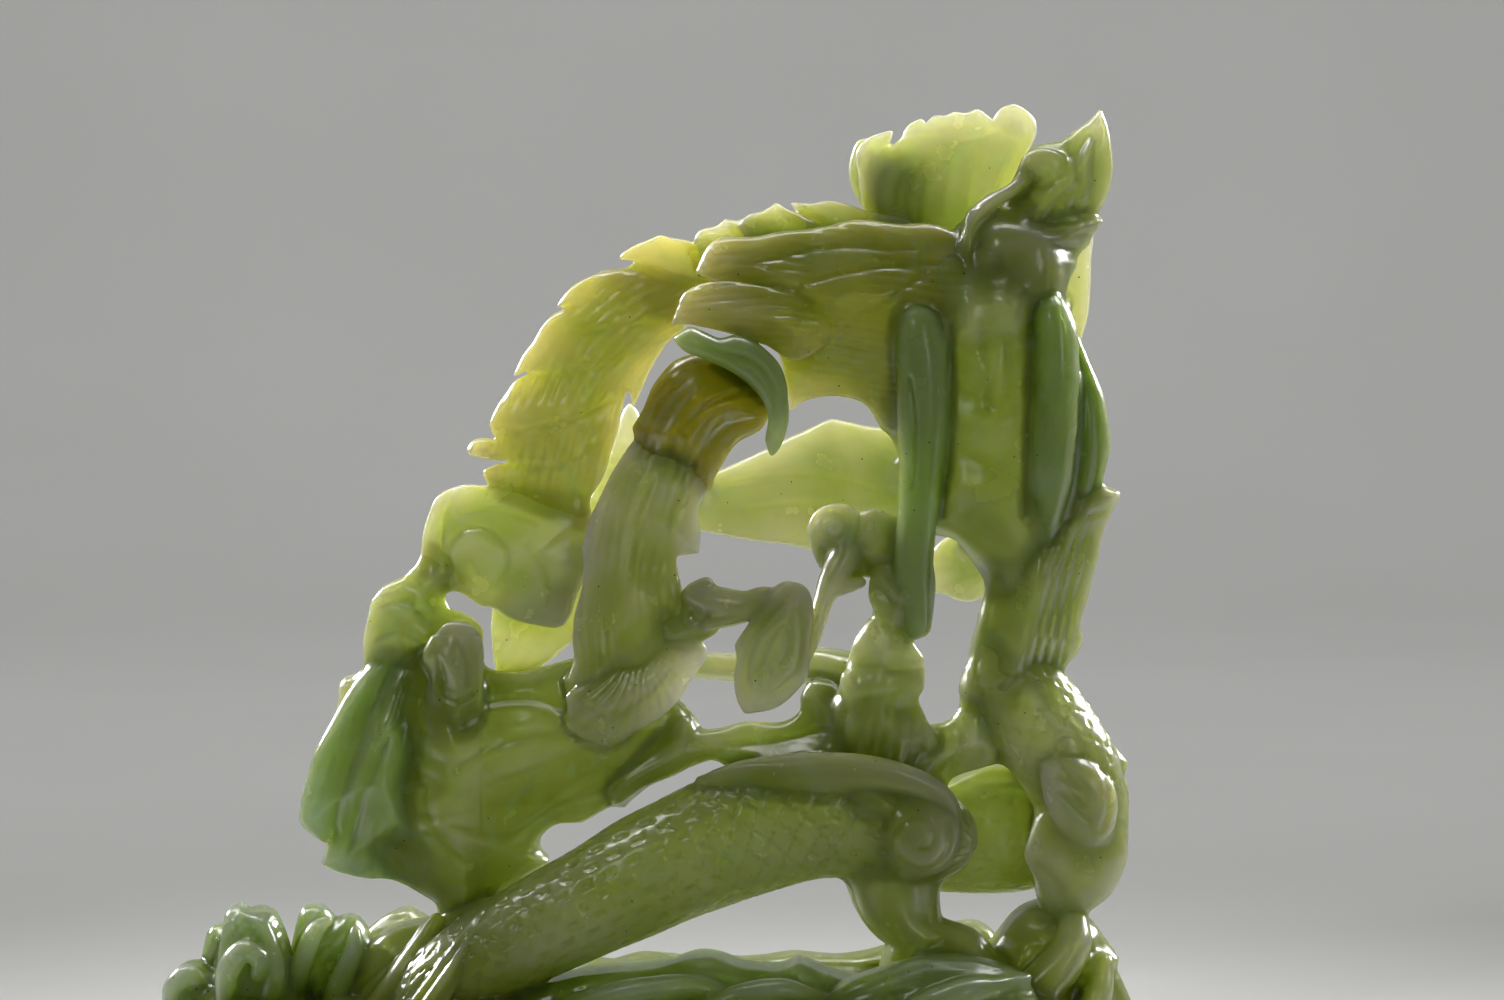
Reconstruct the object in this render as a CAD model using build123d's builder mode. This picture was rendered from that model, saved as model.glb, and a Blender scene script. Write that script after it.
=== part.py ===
from build123d import *
import math
import os

# Openwork dragon-and-cloud carving cut from one block of green jade.
# The carver left every mass joined to its neighbours, so the named pieces below are the carved
# masses of the block: each is one closed solid, seated face to face against the masses it grows from.
# Frame: mm, +X to the dragon's snout side, +Z up, -Y to the viewer, z = 0 on the flat underside.

# ---- driving dimensions ----
BASE_HALF_LENGTH = 97.5
BASE_HALF_DEPTH = 37.0
BASE_HEIGHT = 17.0
BASE_EDGE = 3.0
SECTION_POINTS = 8
KNOB_CENTRE = (53.8, 48.9)
KNOB_RADIUS = 8.2
KNOB_BACK = 13.0
KNOB_FRONT = 22.0
KNOB_EYE_RADIUS = 4.0
KNOB_EYE_DEPTH = 1.5
KNOB_EDGE = 1.6

pieces = []


def keep(solid, label):
    """Seat a solid face to face against the masses already carved, name it and list it for export."""
    box = solid.bounding_box()
    neighbours = [piece for piece in pieces if piece.bounding_box().overlaps(box)]
    with BuildPart() as seated:
        add(solid)
        if neighbours:
            add(neighbours, mode=Mode.SUBTRACT)
    largest = seated.part.solids().sort_by(SortBy.VOLUME)[-1]
    largest.label = label
    pieces.append(largest)


def plate(label, depth_at, thickness, edge, *strokes):
    """Carved plate facing the viewer: outline in x and z, extruded about y = depth_at."""
    with BuildPart() as body:
        with BuildSketch(Plane.XZ.offset(-depth_at)):
            with BuildLine():
                for stroke in strokes:
                    if len(stroke) == 2:
                        Line(*stroke)
                    else:
                        Spline(*stroke)
            make_face()
        extrude(amount=thickness / 2, both=True)
        if edge:
            rims = body.faces().filter_by(Axis.Y).edges()
            chamfer(rims, edge)
    keep(body.part, label)


def oval_points(half_width, half_depth):
    """Points of an oval whose start is the same on every station of a rope."""
    turns = [2 * math.pi * step / SECTION_POINTS for step in range(SECTION_POINTS)]
    return [(half_depth * math.cos(turn), half_width * math.sin(turn)) for turn in turns]


def rope(label, *stations):
    """Rounded mass lofted through ovals: each station is x, y, z, half width and half depth."""
    centres = [Vector(*station[:3]) for station in stations]
    with BuildPart() as body:
        for index, station in enumerate(stations):
            before = centres[max(index - 1, 0)]
            after = centres[min(index + 1, len(stations) - 1)]
            along = (after - before).normalized()
            level = Plane(origin=centres[index], x_dir=(0, 1, 0), z_dir=along)
            with BuildSketch(level):
                with BuildLine():
                    Spline(*oval_points(station[3], station[4]), periodic=True)
                make_face()
        loft()
    keep(body.part, label)


def mound(label, centre, radii):
    """Rounded boss: a sphere stretched to three radii, then moved to its centre."""
    with BuildPart() as body:
        Sphere(1)
        scale(by=radii)
    keep(body.part.moved(Location(centre)), label)


# ---- base and the great masses, which stay whole ----
with BuildPart() as base:
    with BuildSketch(Plane.XY):
        Ellipse(BASE_HALF_LENGTH, BASE_HALF_DEPTH)
    extrude(amount=BASE_HEIGHT)
    fillet(base.faces().sort_by(Axis.Z)[-1].edges(), BASE_EDGE)
keep(base.part, "base_block")
plate(
    "shell_rock", -2, 24, 2.0,
    [(-46, 84), (-53, 83.4), (-60.4, 75.4), (-67.4, 61.8), (-69.9, 50.6), (-64.6, 45.4)],
    [(-64.6, 45.4), (-65.6, 41.4)],
    [(-65.6, 41.4), (-57, 38.5), (-50, 37.8), (-42, 34.6)],
    [(-42, 34.6), (-38, 50), (-41, 70), (-46, 84)],
)
rope(
    "scaled_body",
    (-38, -15, 20, 7, 9),
    (-24, -15, 29, 9, 10),
    (-10, -14, 36, 10.8, 11.5),
    (4, -12, 43, 12, 12.5),
    (20, -10, 49, 12.5, 13),
    (36, -9, 52, 12.5, 13),
    (50, -8, 51, 10.5, 12),
    (60, -8, 49, 7.5, 9),
)
plate(
    "neck_column", 0, 21, 2.0,
    [(52, 158), (49.4, 142), (48.4, 132)],
    [(48.4, 132), (51.8, 118), (54, 107)],
    [(54, 107), (62, 106.8), (68.4, 98.6), (73, 95)],
    [(73, 95), (81, 102), (86, 116), (86.4, 128), (85, 140), (81, 151)],
    [(81, 151), (66, 157), (52, 158)],
)
rope(
    "coil_body",
    (72, 0, 80, 7, 8),
    (75, -2, 76, 8.8, 9.5),
    (79.5, -3, 69.5, 10, 10.6),
    (84, -4, 62.8, 10, 11),
    (87.2, -4, 55, 9.6, 11),
    (87.2, -4, 46, 9, 10.6),
    (86, -3, 37, 6.4, 9),
    (86, -2, 28, 6.5, 9),
)
rope(
    "rear_body",
    (56, 8, 45, 8.5, 8),
    (64, 10, 45.5, 11.5, 10),
    (72, 11, 47, 12.5, 10),
    (80, 10, 50, 11, 9),
    (87, 7, 53, 7, 7),
)
rope(
    "leg_pillar",
    (50, -8, 46, 9.4, 9.6),
    (49.8, -7.6, 39.5, 9.4, 9.6),
    (51.2, -7, 33.6, 8, 9),
    (54.4, -7, 27.6, 6.4, 8),
    (56.6, -7, 21.6, 8.6, 9),
    (59, -7, 13, 12, 12),
)

# ---- head ----
plate(
    "snout", 1, 14, 2.0,
    [(72, 176), (77.5, 185), (82, 186.3), (85.5, 188.3), (89, 190.3), (91, 192.7)],
    [(91, 192.7), (93, 188), (93.6, 181), (92.5, 175.5), (90.5, 172.3)],
    [(90.5, 172.3), (80, 169), (70, 168)],
    [(70, 168), (72, 176)],
)
plate(
    "lower_jaw", 0, 17, 2.5,
    [(91, 171.5), (90.5, 168), (88.5, 165.5), (86.3, 162.5), (83.8, 158.5), (82, 151)],
    [(82, 151), (72, 147), (62, 152), (60, 162)],
    [(60, 162), (66, 172), (76, 174), (91, 171.5)],
)
mound("cheek", (77, -8, 160.5), (7, 5.5, 7))
plate(
    "crest_plate", 6, 5, 0.8,
    [(45, 171), (42.8, 180), (42.2, 184), (43.5, 186.5), (46, 188), (50, 189)],
    [(50, 189), (49.2, 185.6)],
    [(49.2, 185.6), (51.5, 187.5), (53, 190), (55.5, 191.3)],
    [(55.5, 191.3), (56.4, 190.2)],
    [(56.4, 190.2), (58, 191.8), (63.5, 192.5), (67, 193)],
    [(67, 193), (69.8, 191)],
    [(69.8, 191), (72.5, 193.7), (74.5, 194), (76.8, 192.8), (78.5, 190.8), (78.3, 187), (76, 180)],
    [(76, 180), (72, 168), (60, 160), (45, 171)],
)
plate(
    "crest_rear_lobe", 12, 4, 0.6,
    [(42.5, 185), (40.8, 181), (42.5, 176), (46, 169)],
    [(46, 169), (58, 170), (56, 182), (42.5, 185)],
)
plate(
    "ear", -8.5, 5, 0.8,
    [(66.5, 163), (64.2, 168), (64.7, 173), (68, 177), (73, 179.3), (76.5, 178.4), (80, 179)],
    [(80, 179), (78, 172), (73, 166), (66.5, 163)],
)
plate(
    "back_blade", 13, 5, 0.8,
    [(84, 140), (88.5, 145), (90.4, 155), (90.4, 168)],
    [(90.4, 168), (80, 166)],
    [(80, 166), (78, 150), (84, 140)],
)

# ---- mane: neck mass, feathers, arch, tufts along the neck and the hook ----
plate(
    "neck_mass", -2, 19, 3.0,
    [(50, 170), (36, 169), (22, 167.5), (14, 166), (10, 160.2)],
    [(10, 160.2), (7.5, 155.5), (4.8, 149.5)],
    [(4.8, 149.5), (15, 147.5), (23, 145), (27.5, 139), (29, 132.5)],
    [(29, 132.5), (34, 135), (41, 135.2), (47.5, 129)],
    [(47.5, 129), (56, 132), (66, 140), (73, 152)],
    [(73, 152), (72, 162), (64, 168), (50, 170)],
)
plate(
    "feather_mane", 3, 9, 1.0,
    [(9, 157.5), (-4, 160.8), (-12, 158.6), (-18, 153.3)],
    [(-18, 153.3), (-22.5, 147), (-26.7, 139.3)],
    [(-26.7, 139.3), (-29.5, 133), (-30.5, 127)],
    [(-30.5, 127), (-34.5, 126.7), (-35.6, 124.5), (-33, 121)],
    [(-33, 121), (-31.7, 118), (-24, 114), (-13, 110)],
    [(-13, 110), (-9, 119), (-5, 130), (0, 139.5), (8, 148)],
    [(8, 148), (9, 157.5)],
)
plate(
    "arch_mass", -4, 18, 2.0,
    [(-2.6, 129.4), (1.2, 137.4), (7, 143.2), (15, 144), (23.4, 139.6)],
    [(23.4, 139.6), (25, 134), (23.4, 129.4)],
    [(23.4, 129.4), (18.6, 126.4), (14.4, 120.4), (12, 116.2)],
    [(12, 116.2), (5, 121), (-2.6, 129.4)],
)
rope(
    "hook_curl",
    (6, -12, 147.5, 1.4, 2),
    (14, -13, 145.8, 2.4, 3.4),
    (20, -13.5, 143.5, 3, 3.8),
    (24.6, -13.5, 138.5, 2.9, 3.8),
    (26, -13, 132, 2.2, 3.4),
    (26, -12, 125.5, 0.9, 1.4),
)
plate(
    "mane_tuft_near_crest", 4, 9, 1.2,
    [(28.7, 174.4), (34, 174.2), (39, 174.2), (46, 172), (54, 170)],
    [(54, 170), (54, 158), (38, 160), (31, 166)],
    [(31, 166), (30.5, 171), (28.7, 174.4)],
)
plate(
    "mane_tuft_second", 0, 10, 1.2,
    [(18.5, 169.7), (20.5, 171.8), (26, 174), (31, 171.7), (36, 167)],
    [(36, 167), (36, 156), (24, 157)],
    [(24, 157), (21, 164), (18.5, 169.7)],
)
plate(
    "mane_tuft_third", 4, 8, 1.2,
    [(9.7, 167), (11, 168.8), (15, 170.5), (20, 171.2), (26, 168)],
    [(26, 168), (26, 157), (14, 158)],
    [(14, 158), (11.5, 162), (9.7, 167)],
)
plate(
    "mane_tuft_fourth", 6, 8, 1.0,
    [(-9.5, 160.3), (-5.3, 163), (-2.5, 165.7), (2.5, 167.7), (5.5, 167), (10, 166), (17, 162)],
    [(17, 162), (16, 154), (2, 153), (-9.5, 160.3)],
)

# ---- beard tuft, rock behind it and the claw ----
plate(
    "beard_tuft", -6, 14, 1.6,
    [(-1, 131), (-5, 124), (-8, 118), (-12.6, 105.7), (-13.4, 98), (-14.3, 89), (-15, 79), (-13.1, 74.4)],
    [(-13.1, 74.4), (-4, 77), (4, 83), (8.7, 90)],
    [(8.7, 90), (7.4, 98), (10.6, 104.2), (11, 110), (8, 119), (-1, 131)],
)
plate(
    "shell_lobe", -11, 9, 1.2,
    [(-15.1, 75), (-14.8, 70.5), (-10.2, 67.6), (-6, 67.1), (-0.5, 69.8), (5.8, 74.5), (10.1, 81), (12, 86.5)],
    [(12, 86.5), (4, 86), (-6, 82), (-15.1, 75)],
)
plate(
    "rock_mass", 0, 24, 1.5,
    [(-44, 84), (-28, 80), (-14, 82), (-4, 80), (5, 74.5), (10.4, 68)],
    [(10.4, 68), (4, 60.5), (-4.4, 52.2)],
    [(-4.4, 52.2), (-8, 52), (-13, 49.4), (-18, 48.8), (-21.4, 46)],
    [(-21.4, 46), (-28, 37), (-36, 31)],
    [(-36, 31), (-48, 46), (-50, 64), (-44, 84)],
)
plate(
    "claw_finger", -11.5, 9, 1.0,
    [(-43, 84), (-38, 91), (-33.4, 88), (-32.6, 80), (-34, 69), (-37.6, 62.2)],
    [(-37.6, 62.2), (-40.8, 69), (-41.4, 77), (-43, 84)],
)

# ---- right-hand column: fan, bars, leaves and the twisted ribbon ----
plate(
    "ribbed_fan", -4, 18, 2.0,
    [(77, 110), (80, 113.3), (84, 115.5), (88, 117.7), (91.5, 118), (95.5, 116.3)],
    [(95.5, 116.3), (93.5, 112), (91, 104), (89.5, 97), (87.5, 90), (87.5, 86), (85, 82), (82, 77)],
    [(82, 77), (75, 73), (67.5, 69)],
    [(67.5, 69), (64.5, 74), (66.3, 80), (66, 87), (68.5, 96), (72, 104), (77, 110)],
)
rope(
    "bar_left",
    (54.6, -9, 153, 1.8, 2.4),
    (54.7, -10, 148, 4.4, 4.8),
    (55.2, -10.4, 139, 5, 5.2),
    (55.2, -10.6, 129, 4.8, 5.2),
    (54.8, -10.2, 118, 4.2, 4.8),
    (54, -10, 108, 3.9, 4.6),
    (53.6, -9.4, 98, 4, 4.6),
    (54.5, -8, 90, 3, 4),
)
rope(
    "bar_right",
    (80.8, -7, 155, 2.6, 3),
    (81.8, -8.8, 148, 4.2, 4.6),
    (82, -9.4, 136, 4.4, 5),
    (81.4, -9.4, 123, 4, 4.6),
    (80.2, -8, 111, 3, 3.6),
)
plate(
    "oval_leaf", -2, 9, 1.2,
    [(84.5, 151), (88.5, 143.5), (91.5, 135.5), (93, 127), (92.3, 121), (90.5, 116)],
    [(90.5, 116), (83, 114)],
    [(83, 114), (80, 122), (79.5, 138), (84.5, 151)],
)
plate(
    "ribbon_twist", -7, 14, 1.2,
    [(45.6, 101), (49, 102.4), (55.4, 103)],
    [(55.4, 103), (57.6, 97), (56, 90.6)],
    [(56, 90.6), (53.4, 88), (55.8, 81), (54.8, 75)],
    [(54.8, 75), (57, 68), (55, 61)],
    [(55, 61), (47, 58), (40, 60)],
    [(40, 60), (36.6, 70), (40, 81), (45.6, 92.4)],
    [(45.6, 92.4), (44.6, 96.4), (45.6, 101)],
)
plate(
    "rear_cloud", 16, 5, 0.8,
    [(55, 94), (57, 101), (61, 105.5), (66, 107), (72, 104)],
    [(72, 104), (74, 95)],
    [(74, 95), (65, 92.5), (55, 94)],
)
plate(
    "coil_fin", 0, 7, 0.8,
    [(80, 74), (84, 71.5), (86.5, 71)],
    [(86.5, 71), (90, 69.5), (92.5, 67)],
    [(92.5, 67), (95, 64.5), (97.3, 61)],
    [(97.3, 61), (96.8, 58), (97.4, 52), (96.8, 46), (95, 40)],
    [(95, 40), (90, 42), (88, 55), (80, 64)],
    [(80, 64), (80, 74)],
)

# ---- ridge, boss and pale band along the body ----
with BuildPart() as boss:
    with BuildSketch(Plane.XZ.offset(KNOB_BACK)):
        with Locations(KNOB_CENTRE):
            Circle(KNOB_RADIUS)
    extrude(amount=KNOB_FRONT - KNOB_BACK)
    chamfer(boss.faces().sort_by(Axis.Y)[0].edges(), KNOB_EDGE)
    with BuildSketch(Plane.XZ.offset(KNOB_FRONT)):
        with Locations(KNOB_CENTRE):
            Circle(KNOB_EYE_RADIUS)
            Circle(KNOB_EYE_RADIUS - KNOB_EYE_DEPTH, mode=Mode.SUBTRACT)
    extrude(amount=-KNOB_EYE_DEPTH, mode=Mode.SUBTRACT)
keep(boss.part, "scroll_boss")
rope(
    "body_ridge",
    (12, -14, 59.6, 1.2, 2),
    (18, -16, 60.2, 2.8, 2.8),
    (26, -17, 60.8, 4.2, 3.2),
    (34, -18, 61.2, 4.4, 3.4),
    (43, -18, 61.2, 3.8, 3.4),
    (51, -17.4, 60.2, 3, 3.2),
    (58, -16.4, 57, 2.4, 2.8),
    (61.6, -15.4, 52, 1.4, 2.2),
)
plate(
    "wave_band", -3, 15, 1.2,
    [(-6, 54), (0, 57), (9.4, 61), (13.8, 62.4)],
    [(13.8, 62.4), (26, 57), (40, 55), (54, 55), (60, 56.5)],
    [(60, 56.5), (66, 60.4), (74, 63)],
    [(74, 63), (68, 73), (64.8, 80)],
    [(64.8, 80), (63.2, 73), (58, 69.8), (50, 72), (40, 77), (34, 78.6)],
    [(34, 78.6), (30.8, 72), (20, 69.9), (10.4, 68.2)],
    [(10.4, 68.2), (3, 65), (-5, 58), (-6, 54)],
)

# ---- clouds and plates of the openwork ----
plate(
    "cloud_scroll", 1, 12, 2.0,
    [(-38.7, 117), (-32.5, 117.5), (-24, 116), (-12, 112)],
    [(-12, 112), (-13, 100), (-17, 89)],
    [(-17, 89), (-24, 90), (-31, 92.6), (-36.5, 95.5), (-43, 99.5), (-45, 104), (-44.5, 109), (-38.7, 117)],
)
plate(
    "cloud_left", 0, 12, 1.2,
    [(-43, 104.6), (-49.4, 98.8), (-55.4, 94), (-57, 86), (-56, 80)],
    [(-56, 80), (-44, 76), (-35, 80)],
    [(-35, 80), (-33.6, 87), (-39.2, 92.4), (-38, 98)],
    [(-38, 98), (-40, 102.4), (-43, 104.6)],
)
plate(
    "membrane", 7, 4, 0.6,
    [(-30, 92), (-30, 76), (-24, 79), (-19, 82), (-12, 86)],
    [(-12, 86), (-3, 99), (0, 114), (-1, 130)],
    [(-1, 130), (-3.4, 133.4)],
    [(-3.4, 133.4), (-8, 122), (-14, 110), (-22, 99), (-30, 92)],
)
plate(
    "leaf_drop", -16, 8, 1.2,
    [(29, 99.5), (33, 97.2), (33.6, 92), (32.5, 84), (31.5, 79.5), (28, 75.8), (20, 73.2)],
    [(20, 73.2), (18.1, 79), (18.2, 87), (22, 93.5), (26, 98.6), (29, 99.5)],
)
plate(
    "cloud_small", -9, 10, 1.5,
    [(7, 92), (9, 98), (13, 99.3), (16, 96), (15.5, 90), (11.5, 87), (7, 86)],
    [(7, 86), (4, 89), (7, 92)],
)
rope(
    "cloud_link",
    (11, -8, 95, 3, 4),
    (17, -11, 94.8, 3.2, 4),
    (23, -14, 95, 3.2, 3.6),
    (28, -15, 95, 2.4, 3),
)
rope(
    "rear_bridge",
    (-2, 4, 80, 5, 6),
    (8, 6, 80, 4, 5),
    (18, 7, 79.5, 3.6, 4.5),
    (29, 6, 79.5, 4, 5),
    (42, 3, 78, 6, 7),
)
plate(
    "cloud_knob", -4, 12, 1.5,
    [(33, 107), (34.5, 112), (40, 114), (47, 113), (54, 109)],
    [(54, 109), (53, 101), (44, 99.5), (36, 101), (33, 107)],
)
rope(
    "cloud_branch",
    (38.5, -6, 104, 3, 4),
    (36, -9, 98, 2.4, 3.4),
    (33.8, -12, 91, 1.9, 2.8),
    (31, -14, 84, 1.4, 2),
)
plate(
    "back_plate", 15, 6, 0.8,
    [(14, 119.6), (28, 125), (41.6, 129.5), (49, 128), (56, 124)],
    [(56, 124), (57, 112), (51.2, 107.4)],
    [(51.2, 107.4), (36, 103.3), (22, 105.2), (6, 107)],
    [(6, 107), (4, 114), (14, 119.6)],
)

# ---- waves standing on the base ----
plate(
    "wave_under_shell", -2, 26, 2.0,
    [(-60, 10), (-57, 24), (-52, 28), (-45, 29.5), (-38, 33), (-30, 34), (-27, 24), (-18, 10)],
    [(-18, 10), (-60, 10)],
)
rope(
    "wave_strand_foot",
    (-44, -20, 10, 5, 6),
    (-39, -21, 17, 5, 6),
    (-34, -20, 25, 4.5, 6),
    (-29, -17, 32, 3.5, 5),
)
plate(
    "wave_left_tall", -6, 20, 1.5,
    [(-88, 10), (-86, 22), (-84.3, 31.5), (-81, 33.2), (-77, 32.7), (-74.3, 31.5), (-72.3, 27.5), (-69, 10)],
    [(-69, 10), (-88, 10)],
)
plate(
    "wave_left_rim", 2, 14, 1.0,
    [(-91, 10), (-90.5, 18), (-88.7, 26.5), (-86, 28), (-83, 26), (-80, 20), (-79, 10)],
    [(-79, 10), (-91, 10)],
)
plate(
    "wave_left_inner", 2, 18, 1.1,
    [(-76, 10), (-72, 22), (-70.3, 28.5), (-69, 31.8), (-65, 31.5), (-61, 29.8), (-57, 28.5), (-55, 20), (-54, 10)],
    [(-54, 10), (-76, 10)],
)
rope(
    "wave_far_left",
    (-91, -2, 8, 6, 12),
    (-91, -2, 14, 5.5, 11),
    (-91, -3, 18, 3.5, 8),
    (-92, -4, 20.5, 1.5, 4),
)
plate(
    "wave_middle", -14, 24, 1.5,
    [(-30, 10), (-22, 19), (-10, 21.3), (4, 22.5), (14, 24.3), (27, 22.2), (39, 20), (44, 10)],
    [(44, 10), (-30, 10)],
)
plate(
    "wave_front_ridge", -24, 14, 1.5,
    [(30, 8), (36, 17), (46, 22.5), (58, 25.5), (68, 25), (75.5, 21.5)],
    [(75.5, 21.5), (80, 15), (84, 8)],
    [(84, 8), (30, 8)],
)
plate(
    "wave_right", 0, 30, 2.0,
    [(60, 10), (68, 22), (74, 29), (80, 33), (84, 32), (88, 29.5), (93, 24), (95.2, 18), (94, 10)],
    [(94, 10), (60, 10)],
)
plate(
    "wave_back", 19, 16, 1.2,
    [(-66, 10), (-58, 24), (-48, 29), (-38, 25), (-28, 24.5), (-18, 19.5), (0, 18.5), (20, 19)]
    + [(40, 19.5), (52, 22), (62, 25.5), (70, 24), (78, 10)],
    [(78, 10), (-66, 10)],
)

# ---- export one STEP file per named mass ----
os.makedirs("parts", exist_ok=True)
for piece in pieces:
    export_step(piece, f"parts/{piece.label}.step")
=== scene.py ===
import math

import bpy
import numpy as np
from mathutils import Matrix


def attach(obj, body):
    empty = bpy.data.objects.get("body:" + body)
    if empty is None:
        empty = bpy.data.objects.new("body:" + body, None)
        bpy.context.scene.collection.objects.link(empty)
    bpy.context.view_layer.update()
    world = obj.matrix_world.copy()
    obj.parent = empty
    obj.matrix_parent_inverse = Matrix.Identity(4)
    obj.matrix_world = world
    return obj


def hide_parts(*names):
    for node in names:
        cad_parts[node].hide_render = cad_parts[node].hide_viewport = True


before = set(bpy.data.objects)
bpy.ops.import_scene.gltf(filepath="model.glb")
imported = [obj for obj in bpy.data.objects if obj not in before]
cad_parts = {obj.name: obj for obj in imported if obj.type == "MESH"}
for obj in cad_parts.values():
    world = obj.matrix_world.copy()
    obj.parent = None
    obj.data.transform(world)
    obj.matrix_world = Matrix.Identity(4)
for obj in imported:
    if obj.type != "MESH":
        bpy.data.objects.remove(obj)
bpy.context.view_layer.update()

import openvdb as vdb

# Jade dragon carving. Each CAD node is replaced by one sculpted piece with the same name.
# Every piece is a mass carved into one shared stone, a distance field in millimetres. A mass is made
# of lobes (outlines in x and z with a carved relief), ropes (round masses along a path) and blobs.
# Where masses meet they share the stone's surface, so the joints show as carved creases.

MM = 0.001
# millimetres: grid spacing, depth of field kept around a surface, and a distance beyond everything
VOXEL = 0.5
BAND = 3.0
FAR = 1e3
CURVE_STEPS = 6
# how strongly the relief is cut, and the usual fillet where a mass meets the stone
RELIEF = 0.8
FILLET = 1.0
# how far a piece runs on under its neighbours, and how steeply it dips there
SKIRT = 1.5
SKIRT_DIP = 0.3
# a piece with more faces than this is meshed on every second grid point
MOST_QUADS = 95_000
# the base block in plan
HALF_LENGTH = 97.5
HALF_DEPTH = 37
# metres and watts of the set
WALL_BACK = 1.30
WALL_POWER = 4.5
BACK_POWER = 0.38
BEAM = math.radians(34)


# ---------------------------------------------------------------- curves and distances

def trace(points, closed=True):
    """Dense curve through points. A point with a third value 0 is a sharp tip."""
    knots = np.array([point[:2] for point in points], float)
    soft = np.array([point[2] if len(point) > 2 else 1.0 for point in points])
    if closed:
        tangents = (np.roll(knots, -1, 0) - np.roll(knots, 1, 0)) / 2
    else:
        padded = np.vstack([knots[:1], knots, knots[-1:]])
        tangents = (padded[2:] - padded[:-2]) / 2
    tangents *= soft[:, None]
    count = len(knots) if closed else len(knots) - 1
    t = np.linspace(0, 1, CURVE_STEPS, endpoint=False)[:, None]
    curve = []
    for start in range(count):
        end = (start + 1) % len(knots)
        curve.append(
            (2 * t**3 - 3 * t**2 + 1) * knots[start]
            + (t**3 - 2 * t**2 + t) * tangents[start]
            + (3 * t**2 - 2 * t**3) * knots[end]
            + (t**3 - t**2) * tangents[end]
        )
    if not closed:
        curve.append(knots[-1:])
    return np.vstack(curve)


def distance_to(u, v, curve, closed=False):
    """Distance in a plane from every (u, v) to a dense curve."""
    best = np.full(np.broadcast(u, v).shape, FAR)
    ends = np.roll(curve, -1, 0) if closed else curve[1:]
    for (au, av), (bu, bv) in zip(curve, ends):
        du = bu - au
        dv = bv - av
        length = du * du + dv * dv
        if length < 1e-12:
            continue
        t = np.clip(((u - au) * du + (v - av) * dv) / length, 0, 1)
        best = np.minimum(best, (u - au - t * du) ** 2 + (v - av - t * dv) ** 2)
    return np.sqrt(best)


def depth_inside(u, v, loop):
    """Signed distance in a plane: positive inside the closed loop."""
    inside = np.zeros(np.broadcast(u, v).shape, bool)
    for (au, av), (bu, bv) in zip(loop, np.roll(loop, -1, 0)):
        if abs(bv - av) < 1e-9:
            continue
        crosses = (av > v) != (bv > v)
        inside ^= crosses & (u < (bu - au) * (v - av) / (bv - av) + au)
    distance = distance_to(u, v, loop, closed=True)
    return np.where(inside, distance, -distance)


def smooth_step(value, low, high):
    t = np.clip((value - low) / (high - low), 0, 1)
    return t * t * (3 - 2 * t)


def soft_min(one, other, blend):
    """Union of two fields with a fillet of about the blend length."""
    if blend <= 0:
        return np.minimum(one, other)
    h = np.clip(0.5 + 0.5 * (other - one) / blend, 0, 1)
    return other + (one - other) * h - blend * h * (1 - h)


def waver(x, y, z, size, seed):
    """Smooth wandering value between about -1 and 1, from a few sine waves."""
    random = np.random.default_rng(seed)
    total = 0.0
    for _ in range(4):
        direction = random.normal(size=3)
        direction *= 2 * math.pi / (size * np.linalg.norm(direction))
        phase = random.uniform(0, 6.3)
        total = total + np.sin(x * direction[0] + y * direction[1] + z * direction[2] + phase)
    return total / 2.5


# ---------------------------------------------------------------- carved relief patterns

def strands(guide, pitch, depth, sway=0.5, seed=1):
    """Parallel grooves that follow a guide line, like combed hair."""
    def relief(u, v, inside):
        across = distance_to(u, v, trace(guide, closed=False)) + sway * waver(u, 0, v, 22, seed)
        press = smooth_step(waver(u, 0, v, 16, seed + 50), -1.1, 0.7)
        return depth * press * (np.abs(np.sin(math.pi * across / pitch)) - 1)
    return relief


def rays(centre, count, depth, bend=0.0):
    """Grooves that fan out from a centre; bend curls them as they leave it."""
    def relief(u, v, inside):
        reach = np.hypot(u - centre[0], v - centre[1])
        angle = np.arctan2(v - centre[1], u - centre[0]) + bend * reach
        return depth * (np.abs(np.sin(count * angle / 2)) - 1) * smooth_step(reach, 1, 5)
    return relief


def engrave(depth, width, *lines):
    """Cut lines with a rounded section."""
    def relief(u, v, inside):
        total = np.zeros(np.broadcast(u, v).shape)
        for line in lines:
            gap = distance_to(u, v, trace(line, closed=False))
            total = np.minimum(total, -depth * np.exp(-((gap / width) ** 2)))
        return total
    return relief


def rim(depth, width):
    """Lower border band inside the outline."""
    def relief(u, v, inside):
        return -depth * (1 - smooth_step(inside, width * 0.7, width))
    return relief


def swirl(centre, pitch, depth, turns=2.0):
    """Spiral groove around a centre."""
    def relief(u, v, inside):
        reach = np.hypot(u - centre[0], v - centre[1])
        angle = np.arctan2(v - centre[1], u - centre[0])
        phase = reach / pitch - angle / (2 * math.pi)
        fade = 1 - smooth_step(reach, pitch * turns, pitch * (turns + 0.6))
        return depth * (np.abs(np.sin(math.pi * phase)) - 1) * fade
    return relief


def uneven(size, depth, seed=1):
    """Gentle unevenness left by hand grinding."""
    def relief(u, v, inside):
        return depth * waver(u, 0, v, size, seed)
    return relief


# ---------------------------------------------------------------- shapes: low and high corners, and a field

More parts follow.
